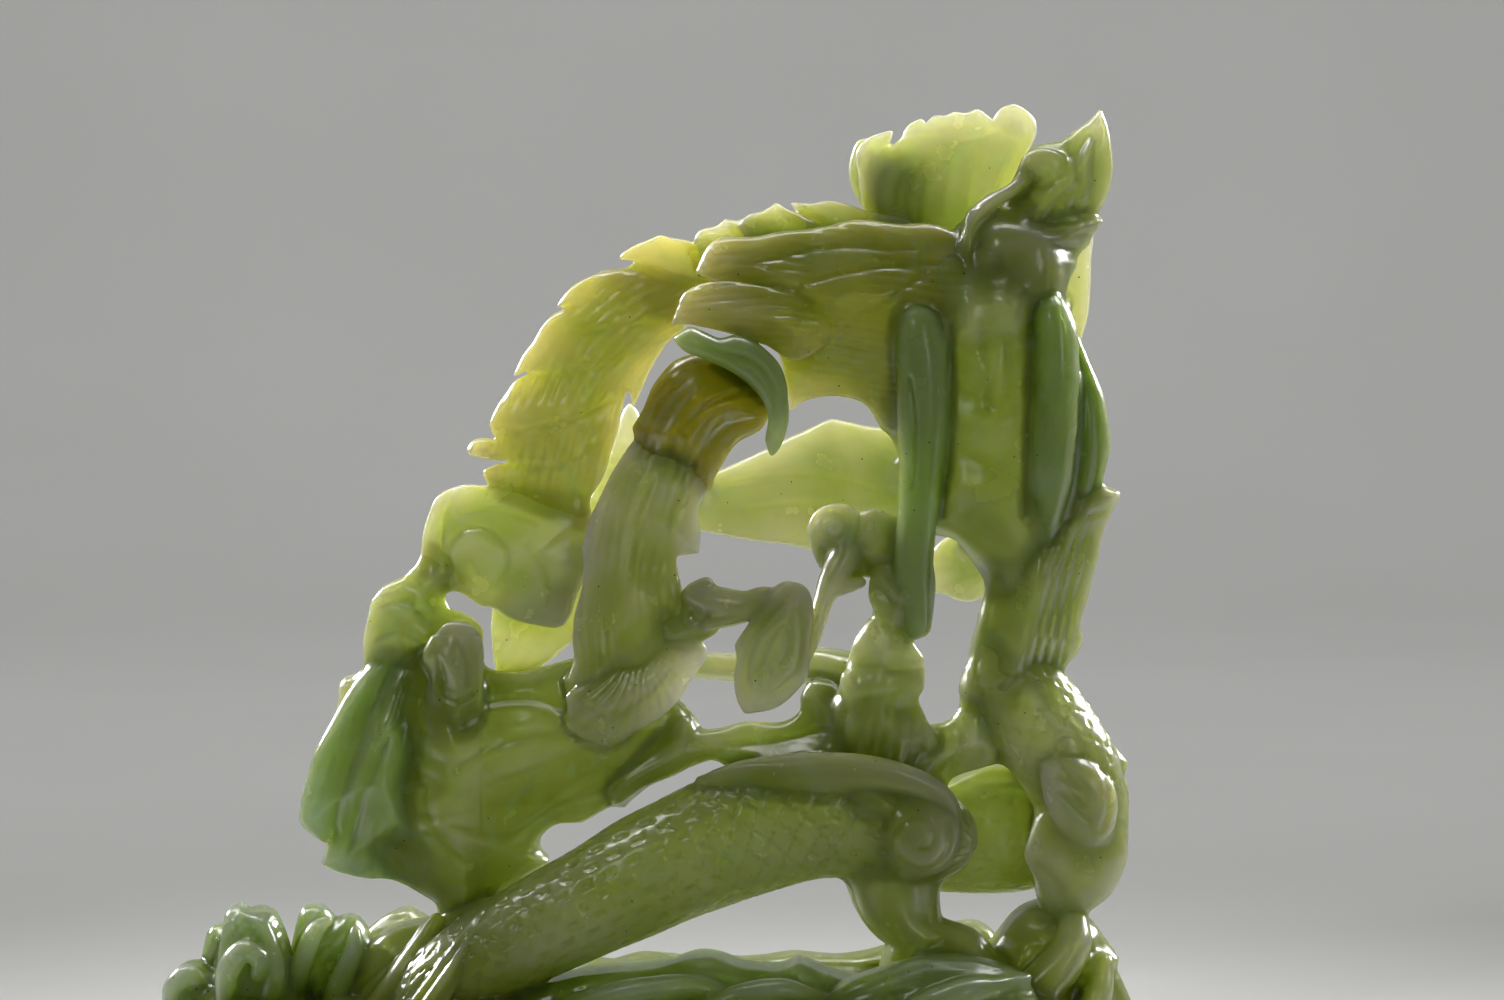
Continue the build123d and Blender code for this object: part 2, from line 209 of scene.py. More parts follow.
def lobe(points, y, half, edge=1.5, dome=0.0, spread=6.0, tilt=(0, 0), relief=()):
    """Carved plate facing the viewer: outline in x and z about y, half its thickness deep."""
    loop = trace(points)
    middle = loop.mean(0)
    reach = half + dome + 1
    lean = abs(tilt[0]) * np.ptp(loop[:, 0]) / 2 + abs(tilt[1]) * np.ptp(loop[:, 1]) / 2
    low = (loop[:, 0].min(), y - reach - lean, loop[:, 1].min())
    high = (loop[:, 0].max(), y + reach + lean, loop[:, 1].max())

    def field(x, yy, z):
        u = x[:, 0, :]
        v = z[:, 0, :]
        inside = depth_inside(u, v, loop)
        carved = half + dome * smooth_step(inside, 0, spread)
        for pattern in relief:
            carved = carved + RELIEF * pattern(u, v, inside)
        centre = y + tilt[0] * (u - middle[0]) + tilt[1] * (v - middle[1])
        offset = yy - centre[:, None, :]
        rounding = min(edge, half)
        side = rounding - inside[:, None, :]
        face = np.abs(offset) - (carved[:, None, :] - rounding)
        outer = np.hypot(np.maximum(side, 0), np.maximum(face, 0))
        return outer + np.minimum(np.maximum(side, face), 0) - rounding
    return low, high, field


def rope(*stations, grooves=0, groove_depth=0.0, scales=None, twist=0.0):
    """Round mass along a path of stations (x, y, z, half width, half depth)."""
    knots = np.array(stations, float)
    padded = np.vstack([2 * knots[0] - knots[1], knots, 2 * knots[-1] - knots[-2]])
    tangents = (padded[2:] - padded[:-2]) / 2
    t = np.linspace(0, 1, CURVE_STEPS, endpoint=False)[:, None]
    path = [
        (2 * t**3 - 3 * t**2 + 1) * knots[i]
        + (t**3 - 2 * t**2 + t) * tangents[i]
        + (3 * t**2 - 2 * t**3) * knots[i + 1]
        + (t**3 - t**2) * tangents[i + 1]
        for i in range(len(knots) - 1)
    ]
    path = np.vstack(path + [knots[-1:]])
    path[:, 3:] = np.maximum(path[:, 3:], 0.4)
    low = tuple((path[:, axis] - np.maximum(path[:, 3], path[:, 4])).min() for axis in range(3))
    high = tuple((path[:, axis] + np.maximum(path[:, 3], path[:, 4])).max() for axis in range(3))

    def field(x, y, z):
        shape = np.broadcast(x, y, z).shape
        best = np.full(shape, FAR)
        along = np.zeros(shape)
        around = np.zeros(shape)
        travelled = 0.0
        for start, end in zip(path[:-1], path[1:]):
            step = end[:3] - start[:3]
            length = math.sqrt(step @ step)
            reach = max(start[3:].max(), end[3:].max()) + BAND
            cut = tuple(
                slice(*np.searchsorted(axis.ravel(), (min(a, b) - reach, max(a, b) + reach)))
                for axis, a, b in zip((x[:, 0, 0], y[0, :, 0], z[0, 0, :]), start[:3], end[:3])
            )
            px = x[cut[0], :, :][:, :, cut[2]] if x.shape[2] > 1 else x[cut[0]]
            pz = z[cut[0], :, :][:, :, cut[2]] if z.shape[0] > 1 else z[:, :, cut[2]]
            py = y[:, cut[1], :]
            t = ((px - start[0]) * step[0] + (py - start[1]) * step[1] + (pz - start[2]) * step[2])
            t = np.clip(t / (length * length), 0, 1)
            wide = start[3] + t * (end[3] - start[3])
            deep = start[4] + t * (end[4] - start[4])
            ox = px - start[0] - t * step[0]
            oy = (py - start[1] - t * step[1]) * wide / deep
            oz = pz - start[2] - t * step[2]
            gap = np.sqrt(ox * ox + oy * oy + oz * oz) - wide
            closer = gap < best[cut]
            best[cut] = np.where(closer, gap, best[cut])
            side = (ox * -step[2] + oz * step[0]) / max(math.hypot(step[0], step[2]), 1e-6)
            along[cut] = np.where(closer, travelled + t * length, along[cut])
            around[cut] = np.where(closer, np.arctan2(oy, side), around[cut])
            travelled += length
        if grooves:
            phase = grooves * around / 2 + twist * along
            best = best - groove_depth * (np.abs(np.sin(phase)) - 1)
        if scales:
            pitch, rows, depth = scales
            one = np.abs(np.sin(math.pi * along / pitch + rows * around / 2))
            two = np.abs(np.sin(math.pi * along / pitch - rows * around / 2))
            best = best + depth * np.exp(-np.minimum(one, two) ** 2 / 0.03)
        return best
    return low, high, field


def blob(centre, radii):
    """Ellipsoid."""
    low = tuple(c - r for c, r in zip(centre, radii))
    high = tuple(c + r for c, r in zip(centre, radii))

    def field(x, y, z):
        scaled = np.sqrt(sum(((a - c) / r) ** 2 for a, c, r in zip((x, y, z), centre, radii)))
        return (scaled - 1) * min(radii)
    return low, high, field


# ---------------------------------------------------------------- from fields to pieces

class Block:
    """The whole stone: its surface, and the depth of the deepest and second deepest mass at each point."""
    low = np.array([-102.0, -44.0, -4.0])
    high = np.array([102.0, 44.0, 199.0])
    counts = np.round((high - low) / VOXEL).astype(int) + 1
    surface = np.full(counts, BAND, np.float32)
    first = np.full(counts, BAND, np.float32)
    second = np.full(counts, BAND, np.float32)
    owner = np.full(counts, -1, np.int16)


masses = {}


def carve(name, *shapes, blend=1.0, cuts=(), grain=0.12, merge=FILLET):
    """Join shapes into one mass, cut others out of it, and merge it into the block with a fillet."""
    low = np.maximum(np.floor(np.min([shape[0] for shape in shapes], 0) - BAND), Block.low)
    high = np.minimum(np.ceil(np.max([shape[1] for shape in shapes], 0) + BAND), Block.high)
    counts = np.round((high - low) / VOXEL).astype(int) + 1
    axes = [low[i] + VOXEL * np.arange(counts[i]) for i in range(3)]
    x = axes[0][:, None, None]
    y = axes[1][None, :, None]
    z = axes[2][None, None, :]
    flat_x = np.broadcast_to(x, (counts[0], 1, counts[2]))
    flat_z = np.broadcast_to(z, (counts[0], 1, counts[2]))
    total = None
    for shape in shapes:
        field = shape[2](flat_x, y, flat_z)
        total = field if total is None else soft_min(total, field, blend)
    for shape in cuts:
        total = -soft_min(-total, shape[2](flat_x, y, flat_z), 0.5)
    total = total + grain * waver(x, y, z, 9, len(name))
    total = np.minimum(np.maximum(total, -z), BAND).astype(np.float32)
    start = np.round((low - Block.low) / VOXEL).astype(int)
    here = tuple(slice(s, s + n) for s, n in zip(start, counts))
    Block.surface[here] = soft_min(Block.surface[here], total, merge)
    deeper = total < Block.first[here]
    Block.second[here] = np.where(deeper, Block.first[here], np.minimum(Block.second[here], total))
    Block.first[here] = np.where(deeper, total, Block.first[here])
    Block.owner[here] = np.where(deeper, len(masses), Block.owner[here])
    masses[name] = (low, here, total)


def mesh_of(name, number):
    """Mesh one mass: the stone's own surface where it is the deepest mass, dipping under its neighbours."""
    low, here, total = masses[name]
    others = np.where(Block.owner[here] == number, Block.second[here], Block.first[here])
    beyond = (total - others) / 2
    shape = np.maximum(Block.surface[here] + SKIRT_DIP * np.maximum(beyond, 0), beyond - SKIRT)
    shape = np.clip(shape, -BAND, BAND).astype(np.float32)
    for skip in (1, 2):
        grid = vdb.FloatGrid(BAND)
        grid.copyFromArray(np.ascontiguousarray(shape[::skip, ::skip, ::skip]))
        points, quads = grid.convertToQuads(isovalue=0.0)
        if len(quads) < MOST_QUADS:
            break
    points = (points * VOXEL * skip + low) * MM
    mesh = bpy.data.meshes.new(name)
    mesh.vertices.add(len(points))
    mesh.vertices.foreach_set("co", points.astype(np.float32).ravel())
    mesh.loops.add(len(quads) * 4)
    mesh.loops.foreach_set("vertex_index", quads[:, ::-1].astype(np.int32).ravel())
    mesh.polygons.add(len(quads))
    mesh.polygons.foreach_set("loop_start", np.arange(0, len(quads) * 4, 4, dtype=np.int32))
    mesh.update(calc_edges=True)
    mesh.validate()
    mesh.shade_smooth()
    body = bpy.data.objects.new(name + "_carved", mesh)
    bpy.context.scene.collection.objects.link(body)
    return body


# ---------------------------------------------------------------- head

def carve_head():
    carve("crest_plate", lobe(
        [(45, 171), (42.8, 180), (42.2, 184), (43.5, 186.5), (46, 188), (50, 189, 0), (49.2, 185.4, 0),
         (51.3, 187.3), (53, 190), (55.5, 191.3, 0), (56.4, 190.2, 0), (58, 191.8), (60.5, 191.9),
         (62, 192.6), (64.5, 192.3), (67, 193), (69.8, 191, 0), (71, 192.8), (72.5, 193.8), (74.6, 194.1),
         (76.8, 192.8), (78.5, 190.8), (78.6, 187.5), (76, 182.5), (74, 178), (70, 168), (58, 160)],
        y=6, half=1.5, edge=1.2, dome=1.0, spread=12, tilt=(0.05, -0.12),
        relief=[
            engrave(0.7, 0.9, [(51, 170), (50.5, 176), (51.5, 181)], [(53.2, 169), (53, 176), (54.5, 182)],
                [(56, 170), (56, 176), (58, 182)], [(60, 172), (60.5, 178), (62, 183)],
                [(65, 174), (66, 180), (67.5, 184)], [(47.6, 172), (46.6, 177), (47.4, 181)]),
            rim(0.45, 3.4),
            engrave(0.5, 0.5, [(43.5, 181), (48, 185.5), (52, 187.6), (58, 187.4), (62, 186.5), (67, 187.3),
                (71, 188.4), (75, 187)]),
            uneven(7, 0.12, 3),
        ],
    ), blend=0.6, grain=0.08)
    carve("crest_rear_lobe", lobe(
        [(43.5, 187.2), (41.3, 183.5), (41.1, 179), (43, 174.5), (47, 170), (57, 170), (56, 182), (50, 186)],
        y=11, half=2.4, edge=1.6, relief=[rays((52, 168), 34, 0.35)],
    ), grain=0.08)
    carve("ear", lobe(
        [(62.4, 163), (63, 168), (64.6, 172.4), (68.4, 176), (72.6, 178.2), (75.4, 180.6, 0.2),
         (76.6, 178.4), (74, 175.6), (70, 173.2), (67.4, 170), (66.6, 165), (65, 161)],
        y=-4.2, half=1.5, edge=1.4, dome=1.0, spread=2, tilt=(0.12, 0),
        relief=[engrave(0.7, 0.6, [(65, 165), (66, 170), (70, 174.4), (74, 177)])],
    ), merge=2.5)
    carve(
        "snout",
        lobe(
            [(70, 168), (72, 175), (74.4, 180, 0.3), (75.6, 183, 0.4), (77.8, 185.4), (80.6, 186.3),
             (83.6, 186.9), (86.4, 189), (89, 190.6), (91.2, 193, 0), (92.6, 189.4), (93.4, 184.6),
             (93.5, 180.4), (92.6, 176), (91, 172.8, 0.4), (84, 167), (76, 165)],
            y=1, half=2.4, edge=1.8, dome=4.2, spread=8,
            relief=[
                engrave(1.0, 0.9, [(75.4, 178.6), (79, 177.6), (82.6, 179.6), (84.6, 183.4), (84.2, 186)]),
                engrave(1.1, 0.9, [(85.6, 174), (86.6, 179), (86.4, 184), (88.4, 187.8)]),
                engrave(0.8, 0.7, [(88.4, 173.6), (89.6, 178), (89.8, 184), (90.6, 189)]),
                engrave(0.7, 0.7, [(80, 171), (82.4, 174.6), (85.4, 177)]),
                uneven(6, 0.35, 5),
            ],
        ),
        blob((79.4, -3.4, 182), (4.4, 2.2, 3.2)),
        blend=1.2, merge=2.0,
    )
    carve("lower_jaw", lobe(
        [(90.8, 171.4), (90.9, 169.5), (89.4, 167.2), (88.8, 165.6), (86.6, 163.6), (86.2, 161.5),
         (84, 158.6), (82.6, 154), (80, 148), (70, 146), (60, 152), (58, 162), (64, 171), (76, 174)],
        y=0, half=3.4, edge=2.6, dome=5, spread=10,
        relief=[
            engrave(1.0, 0.7, [(79, 170.3), (84.5, 170.2), (90, 171)]),
            engrave(1.0, 0.8, [(81, 165.4), (85, 165.2), (89, 166)]),
            engrave(0.7, 0.6, [(80, 168.3), (85, 168), (90, 168.6)]),
            uneven(8, 0.6, 6),
        ],
    ), merge=2.0)
    carve(
        "cheek",
        blob((76.6, -4.6, 160), (6.8, 5.6, 8)),
        blob((71, -4, 166), (4, 4.4, 4)),
        blend=3.0, merge=5.0,
    )
    carve(
        "back_blade",
        lobe(
            [(83.5, 140, 0), (87, 143.5), (89, 148), (90.2, 155), (90.4, 163), (90.3, 168.5), (84, 170),
             (80, 166), (79, 152)],
            y=13, half=1.3, edge=1.2,
            relief=[strands([(83, 140), (84.5, 152), (84, 168)], 1.6, 0.45)],
        ),
        rope((81, 4, 150, 3, 3), (83, 9, 152, 3, 3), (84.6, 13, 155, 2, 2)),
        rope((80, 5, 162, 3, 3), (82, 9, 162, 3, 3), (84, 13, 162, 2, 2)),
        grain=0.06,
    )


# ---------------------------------------------------------------- mane

def tuft(name, points, y, dome, guide, comb):
    """Thin pointed tuft; comb is the pitch, depth, sway and seed of its strands."""
    shape = lobe(points, y=y, half=1.2, edge=1.1, dome=dome, spread=9, relief=[strands(guide, *comb)])
    carve(name, shape, grain=0.08)


def carve_mane():
    neck_strands = [(73, 164), (60, 163.5), (45, 165), (30, 167.5), (14, 167)]
    carve(
        "neck_mass",
        lobe(
            [(60, 169.5), (50, 170.2), (42, 171), (36, 169.7), (28, 168.6), (22, 167.6), (15, 167.3),
             (12, 165), (10, 160.2, 0), (12, 159.4), (18, 156), (24, 150), (27, 143), (28.5, 136.5),
             (29, 132.5, 0.2), (32, 134.6), (36.5, 135.6), (41, 135.2), (44.5, 133.4), (47.5, 129, 0.3),
             (54, 129), (62, 138), (72, 150), (72, 162)],
            y=-2, half=2.6, edge=2.2, dome=6.8, spread=17,
            relief=[
                strands(neck_strands, 1.6, 0.5, 0.7, 11),
                engrave(0.5, 0.6, [(58, 162), (44, 161), (30, 157.6), (16, 152)], [(54, 165), (38, 165.4),
                    (25, 163), (12, 160)]),
                engrave(0.5, 0.8, [(56, 160), (46, 154), (38, 147), (33, 139)]),
                uneven(12, 0.7, 8),
            ],
        ),
        lobe(
            [(4.8, 149.5, 0), (6.4, 153.5), (8, 156.5), (12.4, 158.6), (19, 158.6), (27, 157), (34, 153.6),
             (37, 149), (34, 144.6), (29, 143), (24, 146), (16, 148.4), (9, 149.9)],
            y=-7.6, half=1.4, edge=1.3, dome=3.2, spread=9, tilt=(-0.08, 0.03),
            relief=[strands([(38, 151), (26, 152.4), (14, 152), (5, 150.4)], 1.5, 0.6, 0.5, 41)],
        ),
        blend=1.6,
    )
    tuft("mane_tuft_near_crest",
        [(28.7, 174.5, 0), (31.5, 174.3), (34, 174.2, 0.4), (36.5, 174.8), (39.4, 174.3, 0.4), (42, 173.6),
         (46, 172.3), (54, 170), (56, 160), (40, 160), (31, 165), (31.5, 170)],
        y=4.5, dome=1.6, guide=[(54, 165), (44, 169), (36, 171.5), (29, 174)], comb=(1.4, 0.45, 0.4, 2))
    tuft("mane_tuft_second",
        [(18.5, 169.7, 0), (20.5, 171.9), (23.5, 172.6), (26.3, 174.3, 0.2), (28.5, 173), (31, 171.8),
         (38, 167), (38, 157), (26, 157), (22, 162), (20.5, 167)],
        y=3.2, dome=1.8, guide=[(40, 160), (32, 165), (25, 169.5), (18.5, 170)], comb=(1.4, 0.45, 0.4, 4))
    tuft("mane_tuft_third",
        [(9.6, 167, 0), (11, 168.9), (14, 169.6), (16, 171, 0.2), (18.5, 170.8), (20.4, 171.4, 0.3),
         (26, 168), (28, 158), (16, 157), (12, 161), (10.6, 165)],
        y=5, dome=1.4, guide=[(28, 158), (22, 164), (16, 168), (9, 167)], comb=(1.6, 0.6, 0.4, 5))
    tuft("mane_tuft_fourth",
        [(-9.5, 160.3, 0), (-6, 160.6), (-4, 161.2), (-2.2, 162.5, 0.3), (-5.4, 162.7, 0), (-5, 164),
         (-2.5, 165.6), (0, 166.6), (2.8, 167.8, 0.2), (5.5, 167.2), (10, 166.2), (17, 163), (18, 154),
         (4, 152), (-4, 157)],
        y=6, dome=1.6, guide=[(18, 156), (8, 160), (0, 163), (-8, 162.5)], comb=(1.5, 0.5, 0.5, 6))
    feather = [(10, 158), (0, 154), (-8, 147), (-14, 137), (-18, 126), (-21, 112)]
    carve("feather_mane", lobe(
        [(9, 157.5), (3, 159), (-4, 160.8), (-9, 160), (-13, 158.6), (-16, 156.3), (-18.2, 153.2, 0),
         (-14.5, 153.6, 0), (-18.5, 152), (-21, 149.4), (-22.8, 146), (-25, 143.4), (-26.8, 139.3, 0),
         (-22.5, 140.6, 0), (-26, 138.8), (-28.4, 135.8), (-30.5, 132.3), (-31.4, 129.5), (-30.5, 127, 0.3),
         (-34, 126.8), (-35.8, 125.4), (-35.6, 123.7), (-31, 122.6), (-28, 122.4, 0.3), (-32.8, 120.6, 0.1),
         (-31.6, 118), (-24, 114), (-13, 110), (-11, 115), (-8.2, 120), (-6, 127), (-5, 132, 0.4),
         (-3.6, 136.5), (-2.6, 132.2, 0), (-1.6, 134.5), (0.6, 140), (4, 145.5), (8, 149.5)],
        y=3, half=1.9, edge=1.7, dome=2.6, spread=11, tilt=(0.08, 0.05),
        relief=[
            strands(feather, 2.2, 0.8, 0.9, 7),
            engrave(0.9, 0.9, [(3, 151), (-8, 148.6), (-15, 149)], [(-3, 144), (-12, 140.6), (-22, 140)],
                [(-7, 135), (-15, 131), (-26, 128.6)], [(-10, 126), (-18, 121.4), (-29, 122)]),
            uneven(9, 0.5, 9),
        ],
    ))
    carve(
        "hook_curl",
        lobe(
            [(5.8, 147.6, 0.2), (9, 149.8), (12, 148.8), (15, 147.6), (18, 148.2), (21, 147.4), (24, 145.4),
             (26.8, 142.4), (28.3, 138.6), (28.6, 135.2), (28.8, 132.5), (28.4, 129.6), (27, 125.8),
             (25.2, 123.9, 0.2), (24, 127), (24.6, 131.5), (23.5, 135), (20.8, 138.2), (17, 141),
             (12, 143.4), (8, 145)],
            y=-10.6, half=2.2, edge=1.6, dome=1.4, spread=3.2, tilt=(0.05, 0.02),
            relief=[
                engrave(1.0, 0.6, [(8, 147.4), (15, 145), (21, 143.2), (25, 138.6), (26.4, 133),
                    (26.2, 128)]),
            ],
        ),
        rope((20, -5, 141, 2.4, 3), (20.6, -10, 143, 2.4, 3)),
        grain=0.06,
    )
    carve("arch_mass", lobe(
        [(-2.6, 129.4, 0), (-0.4, 133), (1.2, 137.4), (4, 141), (7, 143.4), (12, 144.4), (18, 143),
         (23.4, 139.6), (25, 133.6), (23.4, 129.4), (18.6, 126.4), (15.6, 122.4), (14, 119.4),
         (13.6, 117.6, 0.3), (12, 116.2, 0.2), (11, 118.4), (6, 120), (0, 123)],
        y=-4, half=3.0, edge=2.4, dome=5.4, spread=9,
        relief=[
            strands([(22, 141), (12, 139), (5, 132), (1, 122), (0, 112)], 2.1, 0.5, 0.6, 12),
            engrave(1.0, 0.7, [(20, 137), (12, 134), (6, 127), (3, 118)], [(22, 131), (15, 129), (9, 121)]),
            uneven(8, 0.6, 13),
        ],
    ), merge=1.5)


# ---------------------------------------------------------------- beard, rock and claw

def carve_left():
    carve(
        "beard_tuft",
        lobe(
            [(0, 128), (-2.4, 126.6), (-5, 123), (-8, 118), (-11, 111), (-12.8, 105.6, 0.4), (-12.2, 101),
             (-13.2, 96, 0.5), (-14.4, 91), (-14.6, 87), (-14.2, 83.2), (-15.8, 79, 0.3), (-14.6, 76),
             (-13, 74.2), (-8, 75.5), (-3, 77.8), (1.5, 81), (3.6, 85.4), (8.6, 89.8), (8, 93), (7.2, 98),
             (6.4, 103.6, 0.3), (10.7, 104.2, 0), (11.2, 107.5), (10.6, 113), (12.4, 118), (10, 124),
             (5, 128)],
            y=-6, half=1.8, edge=1.6, dome=4.4, spread=10, tilt=(0, 0.06),
            relief=[
                strands([(10, 134), (2, 122), (-3, 108), (-5, 92), (-4, 78)], 2.0, 0.75, 0.7, 14),
                engrave(0.9, 0.7, [(4, 124), (-1, 112), (-2.4, 100)], [(8, 120), (5, 108), (6, 100)]),
                uneven(9, 0.5, 15),
            ],
        ),
        lobe(
            [(-3, 102), (-6.4, 97), (-8.6, 90.6), (-8, 85), (-5, 81.4), (-0.8, 81), (2.4, 84.4), (3.6, 89.6),
             (2.4, 95), (-0.4, 99.8)],
            y=-9.6, half=1.3, edge=1.3, dome=1.8, spread=4,
            relief=[engrave(0.5, 0.6, [(-3, 99), (-4.6, 92), (-4, 85)], [(-1, 96), (0.2, 90), (-1, 85)])],
        ),
        blend=1.2,
    )
    carve("shell_lobe", lobe(
        [(-15, 77), (-15.3, 73.8), (-14.8, 70.6), (-12.6, 68.6), (-10, 67.5), (-6.6, 67, 0.4), (-3.4, 68.4),
         (-0.4, 69.8), (3, 71.6), (6, 74.4), (8.2, 77.4), (10.4, 80.8), (12.4, 84.2), (10.6, 87.4), (4, 87),
         (-6, 83)],
        y=-10, half=1.3, edge=1.2, dome=2.6, spread=8, tilt=(0, 0.05),
        relief=[rays((-2, 86), 36, 0.5, 0.02), engrave(0.8, 0.8, [(-13, 75), (-6, 72.6), (1, 76), (6, 82)])],
    ), grain=0.08)
    carve("shell_rock", lobe(
        [(-46, 84), (-49.6, 84.6), (-53, 83.4), (-56, 81), (-60.4, 75.4), (-64.4, 68.4), (-67.4, 61.8),
         (-69, 56), (-69.9, 50.6, 0.6), (-68.2, 48), (-64.6, 45.4, 0), (-63.2, 47.6, 0), (-64.4, 44.6),
         (-65.6, 41.4, 0.3), (-62.6, 39.8), (-57, 38.5), (-51, 38), (-46, 36.6), (-42, 34.6), (-38, 36),
         (-36, 50), (-38, 66), (-42, 78)],
        y=-2, half=3.2, edge=2.8, dome=9, spread=20, tilt=(0.1, 0),
        relief=[
            strands([(-53, 88), (-59, 74), (-65, 60), (-68, 48)], 2.9, 0.5, 0.8, 16),
            engrave(0.9, 0.8, [(-51, 82), (-57, 68), (-61.6, 54), (-63.4, 46)], [(-46, 80), (-52, 66),
                (-57, 54), (-60, 44)]),
            uneven(11, 0.8, 42),
        ],
    ), merge=4.0)
    carve("rock_mass", lobe(
        [(-44, 84), (-36, 84), (-31.6, 80.4), (-26, 79.8), (-20, 80.8), (-14, 82.4), (-6, 82), (4, 76),
         (9.4, 71), (10.6, 67.6), (6, 64), (3.4, 59.6), (1, 57), (-3, 54), (-4.4, 52.4, 0.5), (-7, 52.6),
         (-9, 51.6), (-13, 49.4), (-18, 49), (-21, 46.8), (-21.4, 44), (-19.6, 41.6), (-22, 40), (-28, 36),
         (-31, 33), (-33, 29), (-41, 29), (-42, 34), (-47, 37.6), (-55, 46), (-54, 64), (-50, 78)],
        y=0, half=4.5, edge=3.4, dome=7.8, spread=17, tilt=(0.05, 0),
        relief=[
            strands([(-46, 60), (-34, 58), (-20, 62), (-6, 67), (10, 70)], 5.2, 0.5, 1.8, 17),
            engrave(1.0, 0.9, [(-38, 61), (-29, 66.4), (-18, 68.4), (-6, 67)],
                [(-34, 74), (-22, 75), (-12, 71)], [(-38, 50), (-28, 47), (-18, 53), (-4, 58)],
                [(-44, 58), (-42, 50), (-36, 42)]),
            uneven(13, 0.8, 18),
        ],
    ), merge=4.0)
    carve("claw_finger", lobe(
        [(-44, 84), (-41, 89.6), (-38, 91), (-34.4, 90), (-32.6, 87), (-32.4, 82), (-33, 76), (-33.6, 71),
         (-34.6, 66.4), (-36.2, 62.8), (-38, 62.2, 0.5), (-39.2, 65.6), (-40.6, 68.6, 0.5), (-41.4, 72),
         (-41.4, 76), (-42, 80)],
        y=-8.2, half=1.4, edge=1.2, dome=2.2, spread=5, tilt=(0, -0.05),
        relief=[
            engrave(1.0, 0.6, [(-40.4, 78.6), (-40, 76), (-37, 75.2), (-34.6, 76.4)]),
            engrave(0.9, 0.5, [(-39.6, 70.8), (-37.4, 69.4), (-34.8, 70)], [(-41, 84), (-40.2, 79)]),
            engrave(0.6, 0.6, [(-38.4, 88), (-36, 84), (-35.6, 79)]),
            uneven(5, 0.4, 48),
        ],
    ), merge=3.5)
    carve("cloud_scroll", lobe(
        [(-38.8, 117, 0.5), (-36, 117.6), (-32.5, 117.4), (-24, 116), (-12, 113), (-11, 104), (-14, 95),
         (-17, 89), (-24, 89.6), (-28, 91), (-30.5, 92.6), (-33.5, 93), (-36.5, 95.4), (-40, 97.4),
         (-43.2, 99.4), (-45, 103), (-44.9, 107.6), (-43.6, 112), (-42, 115.2)],
        y=1, half=1.9, edge=1.6, dome=3.6, spread=13, tilt=(0.05, 0.03),
        relief=[
            engrave(1.0, 0.7, [(-38.6, 117), (-40.8, 111), (-41, 105.4), (-39, 100.6), (-35, 97.4)]),
            engrave(1.0, 0.6, [(-39.4, 101), (-39.4, 105.4), (-36.4, 108.8), (-32, 109), (-28.6, 106.4),
                (-27.4, 102), (-29, 98)]),
            engrave(0.7, 0.6, [(-37, 112), (-30, 112.6), (-22, 110)], [(-24, 106), (-20, 100), (-20, 94)],
                [(-35, 102), (-33, 98.6), (-28, 96.4)]),
            uneven(8, 0.7, 19),
        ],
    ), merge=1.6)
    carve(
        "cloud_left",
        lobe(
            [(-43, 104.6), (-46, 102), (-49.4, 98.8), (-52.4, 97.4), (-55.4, 94), (-56.2, 90), (-57, 85),
             (-56.4, 81.6), (-52, 77), (-44, 76), (-35, 80), (-33, 88), (-36.6, 91.4), (-39.2, 92.4),
             (-40.2, 95), (-38, 97.8), (-39, 102)],
            y=0, half=1.8, edge=1.6, dome=3.8, spread=9, tilt=(0.1, 0),
            relief=[
                engrave(1.0, 0.9, [(-55, 92.6), (-51.6, 94.6), (-47, 94), (-43.6, 90.6)]),
                engrave(0.7, 0.7, [(-48, 99), (-45, 97), (-43, 93.6)],
                    [(-54.6, 87), (-50, 88.6), (-45.6, 86)]),
                uneven(7, 0.5, 20),
            ],
        ),
        blob((-60.4, 6, 76), (2.2, 3, 2.4)),
        rope((-57, 5, 78, 2, 3), (-60, 6, 75, 2.2, 3), (-61, 5, 70, 2, 3)),
        merge=2.0,
    )
    carve("membrane", lobe(
        [(-31, 93), (-31, 82), (-29.4, 77.5), (-26, 78.6), (-22, 80), (-19, 82), (-15, 85.4), (-10, 87),
         (-4, 98), (0, 112), (0, 124), (-1.4, 131), (-3.4, 133.6, 0.4), (-5.2, 131), (-8, 122), (-14, 110),
         (-20, 102), (-26, 97)],
        y=7, half=1.4, edge=1.2, tilt=(0.1, 0.05),
        relief=[strands([(-29, 79), (-20, 90), (-10, 100)], 3.0, 0.5, 0.6, 21)],
    ), grain=0.08)


# ---------------------------------------------------------------- dragon's body

